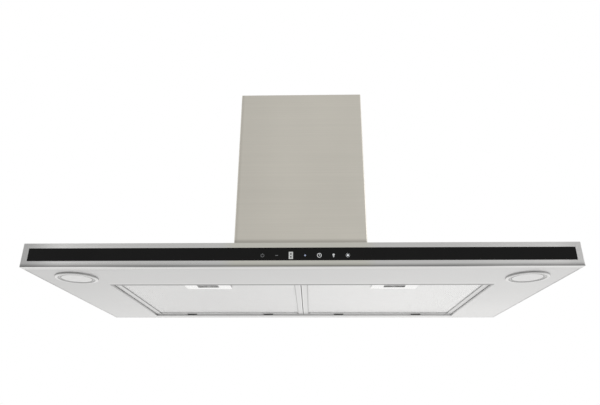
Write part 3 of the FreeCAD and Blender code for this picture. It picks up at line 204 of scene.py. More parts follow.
def brushed_grain():
    tree, given, out = shader_group(
        "brushed_grain",
        [("Coordinates", "Vector", (0, 0, 0)), ("Lines per Metre", "Vector", (6, 700, 700)),
         ("Metal", "Color", (0.7, 0.7, 0.7, 1)), ("Tone Depth", "Float", 0.06), ("Cloud Depth", "Float", 0.06),
         ("Roughness", "Float", 0.32), ("Roughness Depth", "Float", 0.12), ("Scratch Height", "Float", 0.00002)],
        [("Color", "Color"), ("Roughness", "Float"), ("Normal", "Vector")])
    here = given.outputs["Coordinates"]
    stretched = add(tree, "ShaderNodeVectorMath", None, {0: here, 1: given.outputs["Lines per Metre"]},
                    operation="MULTIPLY").outputs[0]
    wide = add(tree, "ShaderNodeVectorMath", {"Scale": 0.21}, {0: stretched}, operation="SCALE").outputs[0]
    fine = add(tree, "ShaderNodeTexNoise", {"Scale": 1.0, "Detail": 3.0, "Roughness": 0.65}, {"Vector": stretched})
    broad = add(tree, "ShaderNodeTexNoise", {"Scale": 1.0, "Detail": 2.0}, {"Vector": wide})
    cloud = add(tree, "ShaderNodeTexNoise", {"Scale": 4.5, "Detail": 2.0, "Distortion": 0.4}, {"Vector": here})
    lines = maths(tree, "SUBTRACT", maths(tree, "ADD", fine.outputs[0], broad.outputs[0]), 1.0)
    clouds = maths(tree, "SUBTRACT", cloud.outputs[0], 0.5)
    tone = maths(tree, "ADD", maths(tree, "MULTIPLY", lines, given.outputs["Tone Depth"]),
                 maths(tree, "MULTIPLY", clouds, given.outputs["Cloud Depth"]))
    colour = add(tree, "ShaderNodeVectorMath", None,
                 {0: given.outputs["Metal"], "Scale": maths(tree, "ADD", tone, 1.0)}, operation="SCALE")
    uneven = maths(tree, "MULTIPLY", maths(tree, "ADD", lines, clouds), given.outputs["Roughness Depth"])
    bump = add(tree, "ShaderNodeBump", {"Strength": 1.0},
               {"Height": fine.outputs[0], "Distance": given.outputs["Scratch Height"]})
    tree.links.new(colour.outputs[0], out.inputs["Color"])
    tree.links.new(maths(tree, "ADD", given.outputs["Roughness"], uneven), out.inputs["Roughness"])
    tree.links.new(bump.outputs[0], out.inputs["Normal"])
    return tree


GRAIN = brushed_grain()
print("group:", GRAIN.name)

# %% [markdown]
# ## Two more shared effects
# Moulded plastic takes the fine pitted skin of its mould, which is a round noise, not a stretched one. Dust lies
# on whatever faces up, so its mask is the upward part of the surface's own direction, broken by a noise. Both
# are groups too, so that every plastic and every ledge uses the same one with its own values.

# %% Build the moulded skin and the settled dust groups


def moulded_skin():
    tree, given, out = shader_group(
        "moulded_skin",
        [("Coordinates", "Vector", (0, 0, 0)), ("Pits per Metre", "Float", 1400.0),
         ("Plastic", "Color", (0.1, 0.1, 0.1, 1)), ("Tone Depth", "Float", 0.12), ("Roughness", "Float", 0.5),
         ("Pit Height", "Float", 0.00003)],
        [("Color", "Color"), ("Roughness", "Float"), ("Normal", "Vector")])
    pits = add(tree, "ShaderNodeTexNoise", {"Detail": 2.0},
               {"Vector": given.outputs["Coordinates"], "Scale": given.outputs["Pits per Metre"]}).outputs[0]
    flow = add(tree, "ShaderNodeTexNoise", {"Scale": 14.0, "Detail": 1.0},
               {"Vector": given.outputs["Coordinates"]}).outputs[0]
    uneven = maths(tree, "SUBTRACT", maths(tree, "ADD", pits, flow), 1.0)
    tone = maths(tree, "ADD", maths(tree, "MULTIPLY", uneven, given.outputs["Tone Depth"]), 1.0)
    colour = add(tree, "ShaderNodeVectorMath", None, {0: given.outputs["Plastic"], "Scale": tone},
                 operation="SCALE")
    rough = maths(tree, "ADD", given.outputs["Roughness"], maths(tree, "MULTIPLY", uneven, 0.2))
    bump = add(tree, "ShaderNodeBump", {"Strength": 1.0},
               {"Height": pits, "Distance": given.outputs["Pit Height"]})
    tree.links.new(colour.outputs[0], out.inputs["Color"])
    tree.links.new(rough, out.inputs["Roughness"])
    tree.links.new(bump.outputs[0], out.inputs["Normal"])
    return tree


def settled_dust():
    tree, given, out = shader_group(
        "settled_dust",
        [("Coordinates", "Vector", (0, 0, 0)), ("Color", "Color", (0.5, 0.5, 0.5, 1)),
         ("Roughness", "Float", 0.4), ("Amount", "Float", 0.2)],
        [("Color", "Color"), ("Roughness", "Float")])
    facing = add(tree, "ShaderNodeSeparateXYZ", None,
                 {0: add(tree, "ShaderNodeNewGeometry").outputs["Normal"]}).outputs["Z"]
    ledge = add(tree, "ShaderNodeMapRange", {"From Min": 0.5, "From Max": 1.0}, {"Value": facing}).outputs[0]
    patches = add(tree, "ShaderNodeTexNoise", {"Scale": 60.0, "Detail": 5.0},
                  {"Vector": given.outputs["Coordinates"]}).outputs[0]
    mask = maths(tree, "MULTIPLY", maths(tree, "MULTIPLY", ledge, patches), given.outputs["Amount"])
    colour = add(tree, "ShaderNodeMix", {7: (0.62, 0.60, 0.56, 1.0)}, {0: mask, 6: given.outputs["Color"]},
                 data_type="RGBA")
    rough = maths(tree, "ADD", given.outputs["Roughness"], maths(tree, "MULTIPLY", mask, 0.5))
    tree.links.new(colour.outputs[2], out.inputs["Color"])
    tree.links.new(rough, out.inputs["Roughness"])
    return tree


SKIN = moulded_skin()
DUST = settled_dust()
print("groups:", SKIN.name, DUST.name)

# %% [markdown]
# ## A maker for each kind of finish
# Each material keeps its own Principled shader, and the groups only feed it. A metal has Metallic at 1, so its
# base colour is the colour of its reflection. Plastic, rubber and glass have it at 0.

# %% Write the finish makers


def fresh(name, metallic, **own):
    """A new material with one Principled shader. Returns the material, its tree, the shader and coordinates."""
    made = bpy.data.materials.new(name)
    made.use_nodes = True
    tree = made.node_tree
    shader = tree.nodes["Principled BSDF"]
    shader.inputs["Metallic"].default_value = metallic
    for socket, value in own.items():
        shader.inputs[socket.replace("_", " ").title().replace("Ior", "IOR")].default_value = value
    here = add(tree, "ShaderNodeTexCoord").outputs["Object"]
    return made, tree, shader, here


def feed(tree, shader, group):
    """Joins a group's outputs to the shader's sockets of the same kind."""
    names = {"Color": "Base Color", "Roughness": "Roughness", "Normal": "Normal"}
    for output in group.outputs:
        tree.links.new(output, shader.inputs[names[output.name]])


def group_node(tree, group, values, links):
    node = tree.nodes.new("ShaderNodeGroup")
    node.node_tree = group
    for label, value in values.items():
        node.inputs[label].default_value = value
    for label, source in links.items():
        tree.links.new(source, node.inputs[label])
    return node


def with_dust(tree, shader, here, group, amount):
    """Lays dust over a group's colour and roughness."""
    dust = group_node(tree, DUST, {"Amount": amount}, {"Coordinates": here, "Color": group.outputs["Color"],
                                                       "Roughness": group.outputs["Roughness"]})
    feed(tree, shader, dust)


def steel(name, metal, lines, rough, tone=0.05, cloud=0.05, spread=0.10, scratch=0.00002, dust=0.0):
    """Brushed or rolled metal. lines are the scratches per metre along each axis."""
    made, tree, shader, here = fresh(name, 1.0)
    grain = group_node(tree, GRAIN, {"Lines per Metre": lines, "Metal": (*metal, 1.0), "Tone Depth": tone,
                                     "Cloud Depth": cloud, "Roughness": rough, "Roughness Depth": spread,
                                     "Scratch Height": scratch}, {"Coordinates": here})
    feed(tree, shader, grain)
    if dust:
        with_dust(tree, shader, here, grain, dust)
    return made


def plastic(name, colour, rough, tone=0.10, pits=1400.0, height=0.00003, dust=0.0, **own):
    """Moulded plastic or rubber."""
    made, tree, shader, here = fresh(name, 0.0, **own)
    skin = group_node(tree, SKIN, {"Pits per Metre": pits, "Plastic": (*colour, 1.0), "Tone Depth": tone,
                                   "Roughness": rough, "Pit Height": height}, {"Coordinates": here})
    feed(tree, shader, skin)
    if dust:
        with_dust(tree, shader, here, skin, dust)
    return made


def dress(material, *names):
    """Gives CAD nodes a material, through their slots."""
    for name in names:
        for place in nodes[name].material_slots:
            place.material = material


def spread(tree, vector):
    """The X, Y and Z of a vector socket."""
    node = add(tree, "ShaderNodeSeparateXYZ", None, {0: vector})
    return node.outputs["X"], node.outputs["Y"], node.outputs["Z"]


def facing_up(tree):
    """How far a surface faces up: 1 for a top, -1 for an underside."""
    return spread(tree, add(tree, "ShaderNodeNewGeometry").outputs["Normal"])[2]


def span(tree, value, low, high, to_low=0.0, to_high=1.0):
    """A value that runs from one number to another between two places, and keeps still outside them."""
    return add(tree, "ShaderNodeMapRange", {"From Min": low, "From Max": high, "To Min": to_low, "To Max": to_high},
               {"Value": value}, interpolation_type="SMOOTHSTEP").outputs[0]


def product(tree, *factors):
    whole = factors[0]
    for factor in factors[1:]:
        whole = maths(tree, "MULTIPLY", whole, factor)
    return whole


def toned(tree, metal, factor):
    """A metal colour, plain or from a node, made darker or lighter by a factor."""
    plain = isinstance(metal, tuple)
    return add(tree, "ShaderNodeVectorMath", {0: metal} if plain else None,
               {"Scale": factor} if plain else {0: metal, "Scale": factor}, operation="SCALE").outputs[0]


print("finish makers ready")

# %% [markdown]
# ## Chimney steel
# The chimney's covers are brushed round the chimney, so the scratches run level on every side. The sheet has a
# warm, slightly yellow cast beside the canopy. The lines are kept fine and faint: at arm's length a brushed
# sheet looks even. Just above the canopy the lower cover carries a soft band of painted shade, in place of the
# reflection of the seam at its foot, strongest on the front. That could be a darker strip of its own, but a mask
# on the height has no edge to it. The lower cover also has a little painted shade towards its left edge.

# %% Finish the chimney
level_lines = (9.0, 9.0, 1500.0)
CHIMNEY_METAL = (0.79, 0.76, 0.685)


def foot_steel():
    """The lower cover's steel, with painted shade: a soft dark line above the canopy and a little towards its left
    edge.
    """
    made, tree, shader, here = fresh("lower_chimney_steel", 1.0)
    low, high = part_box("canopy_top")
    along, depth, height = spread(tree, here)
    # painted shade: a soft dark band just above the canopy, in place of the reflection of the seam at the foot,
    # strongest on the front
    painted_foot_shade = product(tree, span(tree, height, high.z + 0.043, high.z + 0.033),
                   span(tree, height, high.z, high.z + 0.025, 0.5, 1.0))
    ahead = spread(tree, add(tree, "ShaderNodeNewGeometry").outputs["Normal"])[1]
    shade = maths(tree, "SUBTRACT", 1.0, product(tree, painted_foot_shade, span(tree, ahead, -0.3, -0.9, 0.12, 0.36)))
    # painted shade: the lower cover is painted a little darker towards its left edge
    left = product(tree, span(tree, along, -0.125, -0.02, 0.94, 1.0),
                   span(tree, along, -0.1215, -0.114, 0.84, 1.0))
    grain = group_node(tree, GRAIN, {"Lines per Metre": level_lines, "Tone Depth": 0.07, "Cloud Depth": 0.10,
                                     "Roughness": 0.36, "Roughness Depth": 0.10},
                       {"Coordinates": here, "Metal": toned(tree, CHIMNEY_METAL, product(tree, shade, left))})
    feed(tree, shader, grain)
    return made


chimney_steel = steel("chimney_steel", CHIMNEY_METAL, level_lines, 0.36, tone=0.05, cloud=0.10)
dress(foot_steel(), "lower_cover_front", "lower_cover_back")
dress(chimney_steel, "upper_cover_front", "upper_cover_back")
print("chimney:", chimney_steel.name)

# %% [markdown]
# ## Canopy steel
# The canopy is brushed along its width. Its rails and skirt are a neutral grey. The front rail carries painted light
# and shade. Its lower fold's face that looks down is told from the front by a mask on the surface's own direction:
# it is a little darker than the front, with a painted highlight near its front edge towards the ends and painted
# shade there in the middle. The front face has painted shade along its lower edge, towards both ends and in a thin
# line at the middle of its lower edge, and a warm painted reflection of the chimney across its middle. The
# underside panel is painted lighter towards the right and the rear, with a line of painted shade along the
# filter bay's front lip and a painted highlight just in front of it.

# %% Finish the canopy
width_lines = (5.0, 1500.0, 1500.0)


def rail_steel():
    made, tree, shader, here = fresh("rail_steel", 1.0)
    low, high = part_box("fascia_frame")
    along, depth, height = spread(tree, here)
    from_middle = maths(tree, "ABSOLUTE", along, 0.0)
    outward = span(tree, from_middle, 0.10, 0.35, 0.36, 0.52)
    # painted shade: the front face darkens along its lower edge, more towards the ends, and towards both ends
    rolled = product(tree, span(tree, height, low.z + 0.007, low.z + 0.001), outward)
    painted_lower_edge_shade = maths(tree, "SUBTRACT", 1.0, rolled)
    painted_end_shade = product(tree, span(tree, along, low.x + 0.07, low.x, 1.0, 0.56),
                   span(tree, along, high.x - 0.05, high.x, 1.0, 0.80))
    # painted shade: a thin dark line at the middle of the front face's lower edge
    line = product(tree, span(tree, from_middle, 0.34, 0.22),
                   span(tree, height, low.z + 0.0026, low.z + 0.0016))
    shaded_line = maths(tree, "SUBTRACT", 1.0, maths(tree, "MULTIPLY", line, 0.35))
    front = product(tree, painted_lower_edge_shade, painted_end_shade, shaded_line)
    # painted light on the face that looks down: a painted highlight near its front edge towards the ends, painted
    # shade there in the middle
    fold = span(tree, depth, low.y + 0.007, low.y + 0.004)
    lit = product(tree, fold, span(tree, from_middle, 0.20, 0.40))
    dim = product(tree, span(tree, depth, low.y + 0.005, low.y + 0.003), span(tree, from_middle, 0.36, 0.24))
    under = maths(tree, "SUBTRACT", maths(tree, "ADD", 0.91, maths(tree, "MULTIPLY", lit, 0.20)),
                  maths(tree, "MULTIPLY", dim, 0.30))
    facing = facing_up(tree)
    down = span(tree, facing, -0.3, -0.9)
    factor = add(tree, "ShaderNodeMix", None, {0: down, 2: front, 3: under}).outputs[0]
    # a warm painted reflection of the chimney across the middle of the rail
    painted_chimney_reflection = product(tree, span(tree, from_middle, 0.13, 0.10), span(tree, facing, -0.9, -0.3))
    tint = add(tree, "ShaderNodeMix", {6: (0.74, 0.74, 0.735, 1.0), 7: (0.745, 0.738, 0.675, 1.0)}, {0: painted_chimney_reflection},
               data_type="RGBA").outputs[2]
    grain = group_node(tree, GRAIN, {"Lines per Metre": width_lines, "Tone Depth": 0.06, "Cloud Depth": 0.10,
                                     "Roughness": 0.30, "Roughness Depth": 0.10},
                       {"Coordinates": here, "Metal": toned(tree, tint, factor)})
    feed(tree, shader, grain)
    return made


def panel_steel():
    made, tree, shader, here = fresh("underside_steel", 1.0)
    low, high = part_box("underside_panel")
    net_low, net_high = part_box("filter_frame_left")
    far_low, far_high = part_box("filter_frame_right")
    along, depth, _ = spread(tree, here)
    bay_front = net_low.y - 0.001
    # painted shade in a line along the filter bay's front lip, and a painted highlight in a band just in front of it
    beside = product(tree, span(tree, along, net_low.x - 0.002, net_low.x),
                     span(tree, along, far_high.x + 0.002, far_high.x))
    painted_lip_shade = product(tree, beside, span(tree, depth, bay_front - 0.0100, bay_front - 0.0080),
                  span(tree, depth, bay_front + 0.004, bay_front + 0.002))
    shine = product(tree, beside, span(tree, depth, bay_front - 0.020, bay_front - 0.015),
                    span(tree, depth, bay_front - 0.008, bay_front - 0.011))
    shade = maths(tree, "SUBTRACT", 1.0, maths(tree, "MULTIPLY", painted_lip_shade, 0.55))
    factor = maths(tree, "ADD", shade, maths(tree, "MULTIPLY", shine, 0.07))
    # painted light: the underside is painted lighter towards the right and towards the rear
    right = span(tree, along, -0.35, 0.40, 0.93, 1.03)
    painted_rear_light = span(tree, depth, low.y, high.y, 0.91, 1.05)
    grain = group_node(tree, GRAIN, {"Lines per Metre": width_lines, "Tone Depth": 0.04, "Cloud Depth": 0.07,
                                     "Roughness": 0.34, "Roughness Depth": 0.10},
                       {"Coordinates": here,
                        "Metal": toned(tree, (0.72, 0.72, 0.72), product(tree, factor, right, painted_rear_light))})
    feed(tree, shader, grain)
    return made


front_steel = rail_steel()
under_steel = panel_steel()
top_steel = steel("canopy_steel", (0.76, 0.76, 0.76), width_lines, 0.34, dust=0.18)
dress(front_steel, "fascia_frame")
dress(under_steel, "underside_panel")
dress(top_steel, "canopy_top", "canopy_skirt")
print("canopy:", front_steel.name, under_steel.name, top_steel.name)

# %% [markdown]
# ## Black glass
# The strip on the front is clear glass painted black on its back, so it is deep black with a clean reflection on
# top. Its gloss is a very low roughness, barely broken by a fine haze from wiping.

# %% Finish the glass strip


def black_glass():
    made, tree, shader, here = fresh("black_glass", 0.0)
    shader.inputs["IOR"].default_value = 1.26
    haze = add(tree, "ShaderNodeTexNoise", {"Scale": 25.0, "Detail": 6.0}, {"Vector": here}).outputs[0]
    rough = add(tree, "ShaderNodeMapRange", {"To Min": 0.03, "To Max": 0.13}, {"Value": haze}).outputs[0]
    tint = add(tree, "ShaderNodeMapRange", {"To Min": 0.0035, "To Max": 0.0060}, {"Value": haze}).outputs[0]
    colour = add(tree, "ShaderNodeCombineColor", None, {0: tint, 1: tint, 2: tint}).outputs[0]
    tree.links.new(rough, shader.inputs["Roughness"])
    tree.links.new(colour, shader.inputs["Base Color"])
    return made


glass = black_glass()
dress(glass, "fascia_glass")
print("glass:", glass.name)

# %% [markdown]
# ## The signs on the glass
# Seven places stand in a row behind the glass: a ring, a minus, a lit number, a plus, a clock, a lamp and a dot.
# They could be painted by a material, but as thin pads of their own they keep their shape as a mesh.
# Each is drawn in its own plane from bars and rings, and then set on the front of the glass. The two at the left
# are dim, as keys that aren't in use.

# %% Draw with bars, rings and discs
glass_low, glass_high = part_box("fascia_glass")
board_low, board_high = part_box("touch_board")
SIGN_LIFT = 0.00008
SIGN_THICK = 0.00012


def bar(mesh, x0, x1, z0, z1):
    """A flat rectangular pad."""
    pad(mesh, [(x0, z0), (x1, z0), (x1, z1), (x0, z1)])


def pad(mesh, outline):
    """A thin solid from a convex outline in the plane of the glass."""
    front = [mesh.verts.new((x, -SIGN_THICK, z)) for x, z in outline]
    back = [mesh.verts.new((x, 0.0, z)) for x, z in outline]
    mesh.faces.new(front)
    mesh.faces.new(list(reversed(back)))
    for k in range(len(outline)):
        n = (k + 1) % len(outline)
        mesh.faces.new((front[n], front[k], back[k], back[n]))


def ring_pad(mesh, outer, inner, start=0.0, sweep=360.0, steps=40, middle=(0.0, 0.0)):
    """A ring or an arc of a ring, as a row of small pads."""
    count = max(2, round(steps * sweep / 360.0))
    for k in range(count):
        a0, a1 = (math.radians(start + sweep * (k + e) / count) for e in (0, 1))
        corners = [(inner, a0), (outer, a0), (outer, a1), (inner, a1)]
        pad(mesh, [(middle[0] + r * math.cos(a), middle[1] + r * math.sin(a)) for r, a in corners])


def disc_pad(mesh, radius, middle=(0.0, 0.0), steps=28):
    turns = [2 * math.pi * k / steps for k in range(steps)]
    pad(mesh, [(middle[0] + radius * math.cos(a), middle[1] + radius * math.sin(a)) for a in turns])


MM = 0.001
print("drawing tools ready, pads", SIGN_THICK * 1000, "mm thick")

# %% Draw the seven signs


def power_sign(mesh):
    ring_pad(mesh, 2.9 * MM, 2.2 * MM, start=120.0, sweep=300.0)
    bar(mesh, -0.35 * MM, 0.35 * MM, 0.8 * MM, 3.4 * MM)


def minus_sign(mesh):
    bar(mesh, -2.2 * MM, 2.2 * MM, -0.45 * MM, 0.45 * MM)


def number_sign(mesh):
    """A seven-stroke number with thick strokes: an eight."""
    half_x, half_z, stroke, gap = 3.4 * MM, 6.0 * MM, 2.3 * MM, 0.10 * MM
    for z in (-half_z, -stroke / 2, half_z - stroke):
        bar(mesh, -half_x + stroke + gap, half_x - stroke - gap, z, z + stroke)
    for x in (-half_x, half_x - stroke):
        bar(mesh, x, x + stroke, gap, half_z)
        bar(mesh, x, x + stroke, -half_z, -gap)


def plus_sign(mesh):
    bar(mesh, -1.7 * MM, 1.7 * MM, -0.42 * MM, 0.42 * MM)
    bar(mesh, -0.42 * MM, 0.42 * MM, 0.42 * MM, 1.7 * MM)
    bar(mesh, -0.42 * MM, 0.42 * MM, -1.7 * MM, -0.42 * MM)


def clock_sign(mesh):
    ring_pad(mesh, 3.7 * MM, 2.8 * MM)
    bar(mesh, -0.4 * MM, 0.4 * MM, -0.2 * MM, 2.0 * MM)
    bar(mesh, 0.4 * MM, 1.7 * MM, -0.2 * MM, 0.5 * MM)


def lamp_sign(mesh):
    disc_pad(mesh, 1.8 * MM, (0.0, 1.0 * MM))
    bar(mesh, -1.1 * MM, 1.1 * MM, -2.3 * MM, -1.1 * MM)
    bar(mesh, -0.7 * MM, 0.7 * MM, -3.2 * MM, -2.5 * MM)


def dot_sign(mesh):
    disc_pad(mesh, 1.6 * MM)
    for k in range(8):
        turn = 2 * math.pi * k / 8
        disc_pad(mesh, 0.45 * MM, (3.0 * MM * math.cos(turn), 3.0 * MM * math.sin(turn)), 8)


signs = [("power", power_sign, (0.62, 0.64, 0.66), 0.05), ("minus", minus_sign, (0.62, 0.64, 0.66), 0.06),
         ("number", number_sign, (0.92, 0.94, 0.92), 0.34), ("plus", plus_sign, (0.62, 0.72, 1.0), 0.42),
         ("clock", clock_sign, (0.92, 0.94, 0.95), 0.45), ("lamp", lamp_sign, (0.92, 0.94, 0.95), 0.40),
         ("dot", dot_sign, (0.94, 0.97, 1.0), 0.62)]
print("signs:", [name for name, *_ in signs])

# %% Light the signs and set them on the glass


def lit_ink(name, colour, glow):
    """Printed ink with a lamp behind it: the light is a little uneven across it."""
    made, tree, shader, here = fresh(name, 0.0, emission_strength=1.0)
    grain = add(tree, "ShaderNodeTexNoise", {"Scale": 900.0, "Detail": 1.0}, {"Vector": here}).outputs[0]
    level = add(tree, "ShaderNodeMapRange", {"To Min": glow * 0.85, "To Max": glow * 1.15}, {"Value": grain})
    shine = add(tree, "ShaderNodeVectorMath", {0: colour}, {"Scale": level.outputs[0]}, operation="SCALE")
    ink = add(tree, "ShaderNodeVectorMath", {0: colour, "Scale": 0.25}, operation="SCALE")
    rough = add(tree, "ShaderNodeMapRange", {"To Min": 0.28, "To Max": 0.45}, {"Value": grain})
    tree.links.new(shine.outputs[0], shader.inputs["Emission Color"])
    tree.links.new(ink.outputs[0], shader.inputs["Base Color"])
    tree.links.new(rough.outputs[0], shader.inputs["Roughness"])
    return made


def finished(name, mesh, material, body):
    """Turns a bmesh into an object of the scene that rides on a body."""
    bmesh.ops.recalc_face_normals(mesh, faces=mesh.faces)
    data = bpy.data.meshes.new(name)
    mesh.to_mesh(data)
    mesh.free()
    data.materials.append(material)
    piece = bpy.data.objects.new(name, data)
    bpy.context.scene.collection.objects.link(piece)
    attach(piece, body)
    return piece


key_middle = (board_low + board_high) / 2
key_pitch = (board_high.x - board_low.x) / len(signs)
for place, (name, draw, colour, glow) in enumerate(signs):
    mesh = bmesh.new()
    draw(mesh)
    x = board_low.x + key_pitch * (place + 0.5)
    bmesh.ops.translate(mesh, verts=mesh.verts, vec=(x, glass_low.y - SIGN_LIFT, key_middle.z))
    finished("sign_" + name, mesh, lit_ink("ink_" + name, colour, glow), "canopy")
print("signs stand", round(key_pitch * 1000, 1), "mm apart")

# %% [markdown]
# ## Grease filters
# A grease filter is a folded aluminium frame round several layers of expanded metal: sheet that was slit and
# pulled open into a net of diamonds. A texture would stay flat where the light rakes across it, and drawing each
# strand by hand is hopeless, so Geometry Nodes lay one crossing pair of strands on every point of a grid. Two
# nets are laid, the second half a diamond aside, over a fine inner net that is only a finish on a sheet. Points
# where the finger plate's cup stands are left out.

# %% Build the expanded metal tree


def geometry_tree(name, inputs):
    """A Geometry Nodes tree with named inputs. Returns the tree, its input node, its output node, and ids."""
    tree = bpy.data.node_groups.new(name, "GeometryNodeTree")
    tree.interface.new_socket("Geometry", in_out="OUTPUT", socket_type="NodeSocketGeometry")
    tree.interface.new_socket("Geometry", in_out="INPUT", socket_type="NodeSocketGeometry")
    ids = {}
    for label, kind in inputs:
        ids[label] = tree.interface.new_socket(label, in_out="INPUT", socket_type="NodeSocket" + kind).identifier
    return tree, tree.nodes.new("NodeGroupInput"), tree.nodes.new("NodeGroupOutput"), ids


def expanded_metal():
    tree, given, out, ids = geometry_tree(
        "expanded_metal",
        [("Columns", "Int"), ("Rows", "Int"), ("Cell Width", "Float"), ("Cell Depth", "Float"),
         ("Strand Width", "Float"), ("Strand Thickness", "Float"), ("Middle", "Vector"),
         ("Cup Low", "Vector"), ("Cup High", "Vector"), ("Metal", "Material")])
    values = given.outputs
    wide = maths(tree, "MULTIPLY", values["Cell Width"], maths(tree, "SUBTRACT", values["Columns"], 1))
    deep = maths(tree, "MULTIPLY", values["Cell Depth"], maths(tree, "SUBTRACT", values["Rows"], 1))
    grid = add(tree, "GeometryNodeMeshGrid", None, {"Size X": wide, "Size Y": deep,
                                                    "Vertices X": values["Columns"], "Vertices Y": values["Rows"]})
    placed = add(tree, "GeometryNodeTransform", None, {"Geometry": grid.outputs["Mesh"],
                                                       "Translation": values["Middle"]})
    spot = add(tree, "ShaderNodeSeparateXYZ", None, {0: add(tree, "GeometryNodeInputPosition").outputs[0]})
    inside = None
    for axis in ("X", "Y"):
        for corner, test in (("Cup Low", "GREATER_THAN"), ("Cup High", "LESS_THAN")):
            edge = add(tree, "ShaderNodeSeparateXYZ", None, {0: values[corner]}).outputs[axis]
            met = maths(tree, test, spot.outputs[axis], edge)
            inside = met if inside is None else maths(tree, "MULTIPLY", inside, met)
    kept = add(tree, "GeometryNodeDeleteGeometry", None, {"Geometry": placed.outputs[0], "Selection": inside},
               domain="POINT")
    half_x = maths(tree, "MULTIPLY", values["Cell Width"], 0.5)
    half_y = maths(tree, "MULTIPLY", values["Cell Depth"], 0.5)
    turn = maths(tree, "ARCTAN2", half_x, half_y)
    squares = maths(tree, "ADD", maths(tree, "MULTIPLY", half_x, half_x), maths(tree, "MULTIPLY", half_y, half_y))
    length = maths(tree, "MULTIPLY", maths(tree, "SQRT", squares, 0.0), 2.0)
    size = add(tree, "ShaderNodeCombineXYZ", None, {"X": values["Strand Width"], "Y": length,
                                                    "Z": values["Strand Thickness"]})
    strand = add(tree, "GeometryNodeMeshCube", None, {"Size": size.outputs[0]})
    pair = add(tree, "GeometryNodeJoinGeometry")
    for way in (-1.0, 1.0):
        angle = add(tree, "ShaderNodeCombineXYZ", {"Y": 0.03 * way}, {"Z": maths(tree, "MULTIPLY", turn, way)})
        leaning = add(tree, "GeometryNodeTransform", None,
                      {"Geometry": strand.outputs["Mesh"], "Rotation": angle.outputs[0]})
        tree.links.new(leaning.outputs[0], pair.inputs[0])
    net = add(tree, "GeometryNodeInstanceOnPoints", None, {"Points": kept.outputs[0], "Instance": pair.outputs[0]})
    whole = add(tree, "GeometryNodeRealizeInstances", None, {"Geometry": net.outputs[0]})
    dressed = add(tree, "GeometryNodeSetMaterial", None, {"Geometry": whole.outputs[0], "Material": values["Metal"]})
    tree.links.new(dressed.outputs[0], out.inputs[0])
    return tree, ids


NET_TREE, NET_IDS = expanded_metal()
print("tree:", NET_TREE.name, "with", len(NET_IDS), "inputs")

# %% Turn a tree into a plain mesh


def grown(name, tree, ids, values):
    """Runs a Geometry Nodes tree with its values and returns the result as a plain mesh."""
    holder = bpy.data.objects.new(name, bpy.data.meshes.new(name))
    bpy.context.scene.collection.objects.link(holder)
    modifier = holder.modifiers.new(tree.name, "NODES")
    modifier.node_group = tree
    for label, value in values.items():
        modifier[ids[label]] = value
    bpy.context.view_layer.update()
    result = bpy.data.meshes.new_from_object(holder.evaluated_get(bpy.context.evaluated_depsgraph_get()))
    holder.modifiers.remove(modifier)
    bpy.data.objects.remove(holder)
    return result


def joined(name, meshes, material):
    """Joins plain meshes into one mesh with one material."""
    whole = bmesh.new()
    for mesh in meshes:
        whole.from_mesh(mesh)
    for face in whole.faces:
        face.material_index = 0
    data = bpy.data.meshes.new(name)
    whole.to_mesh(data)
    whole.free()
    data.materials.append(material)
    return data


print("mesh tools ready")

# %% [markdown]
# The strands are thin rolled aluminium, with painted light that makes them lighter towards the right. The inner
# layers can't be told apart through the first net, so they are one sheet with a woven finish: two crossed waves give
# the relief of a fine net.

# %% Lay the nets in both filters
CELL_WIDTH, CELL_DEPTH = 4.3 * MM, 9.0 * MM
STRAND_WIDTH, STRAND_THICK = 1.6 * MM, 0.14 * MM
EDGE_ROOM = 1.0 * MM


def net_metal():
    made, tree, shader, here = fresh("net_aluminium", 1.0)
    # painted light: the strands are painted lighter towards the right
    bright = span(tree, spread(tree, here)[0], -0.20, 0.25, 0.79, 0.91)
    grain = group_node(tree, GRAIN, {"Lines per Metre": (300.0, 300.0, 300.0), "Tone Depth": 0.06,
                                     "Cloud Depth": 0.04, "Roughness": 0.32, "Roughness Depth": 0.08},
                       {"Coordinates": here, "Metal": toned(tree, (1.0, 1.0, 1.0), bright)})
    feed(tree, shader, grain)
    return made


strand_metal = net_metal()


def inner_net_metal():
    made, tree, shader, here = fresh("inner_net_aluminium", 1.0)
    relief = None
    for turn in (0.46, -0.46):
        spun = add(tree, "ShaderNodeMapping", {"Rotation": (0.0, 0.0, turn)}, {"Vector": here}).outputs[0]
        wave = add(tree, "ShaderNodeTexWave", {"Scale": 110.0, "Distortion": 0.6, "Detail": 1.0},
                   {"Vector": spun}).outputs["Fac"]
        relief = wave if relief is None else maths(tree, "MAXIMUM", relief, wave)
    tone = add(tree, "ShaderNodeMapRange", {"To Min": 0.88, "To Max": 0.98}, {"Value": relief}).outputs[0]
    colour = add(tree, "ShaderNodeCombineColor", None, {0: tone, 1: tone, 2: tone}).outputs[0]
    rough = add(tree, "ShaderNodeMapRange", {"To Min": 0.45, "To Max": 0.30}, {"Value": relief}).outputs[0]
    bump = add(tree, "ShaderNodeBump", {"Strength": 0.4, "Distance": 0.0002}, {"Height": relief})
    tree.links.new(colour, shader.inputs["Base Color"])
    tree.links.new(rough, shader.inputs["Roughness"])
    tree.links.new(bump.outputs[0], shader.inputs["Normal"])
    return made


inner_metal = inner_net_metal()


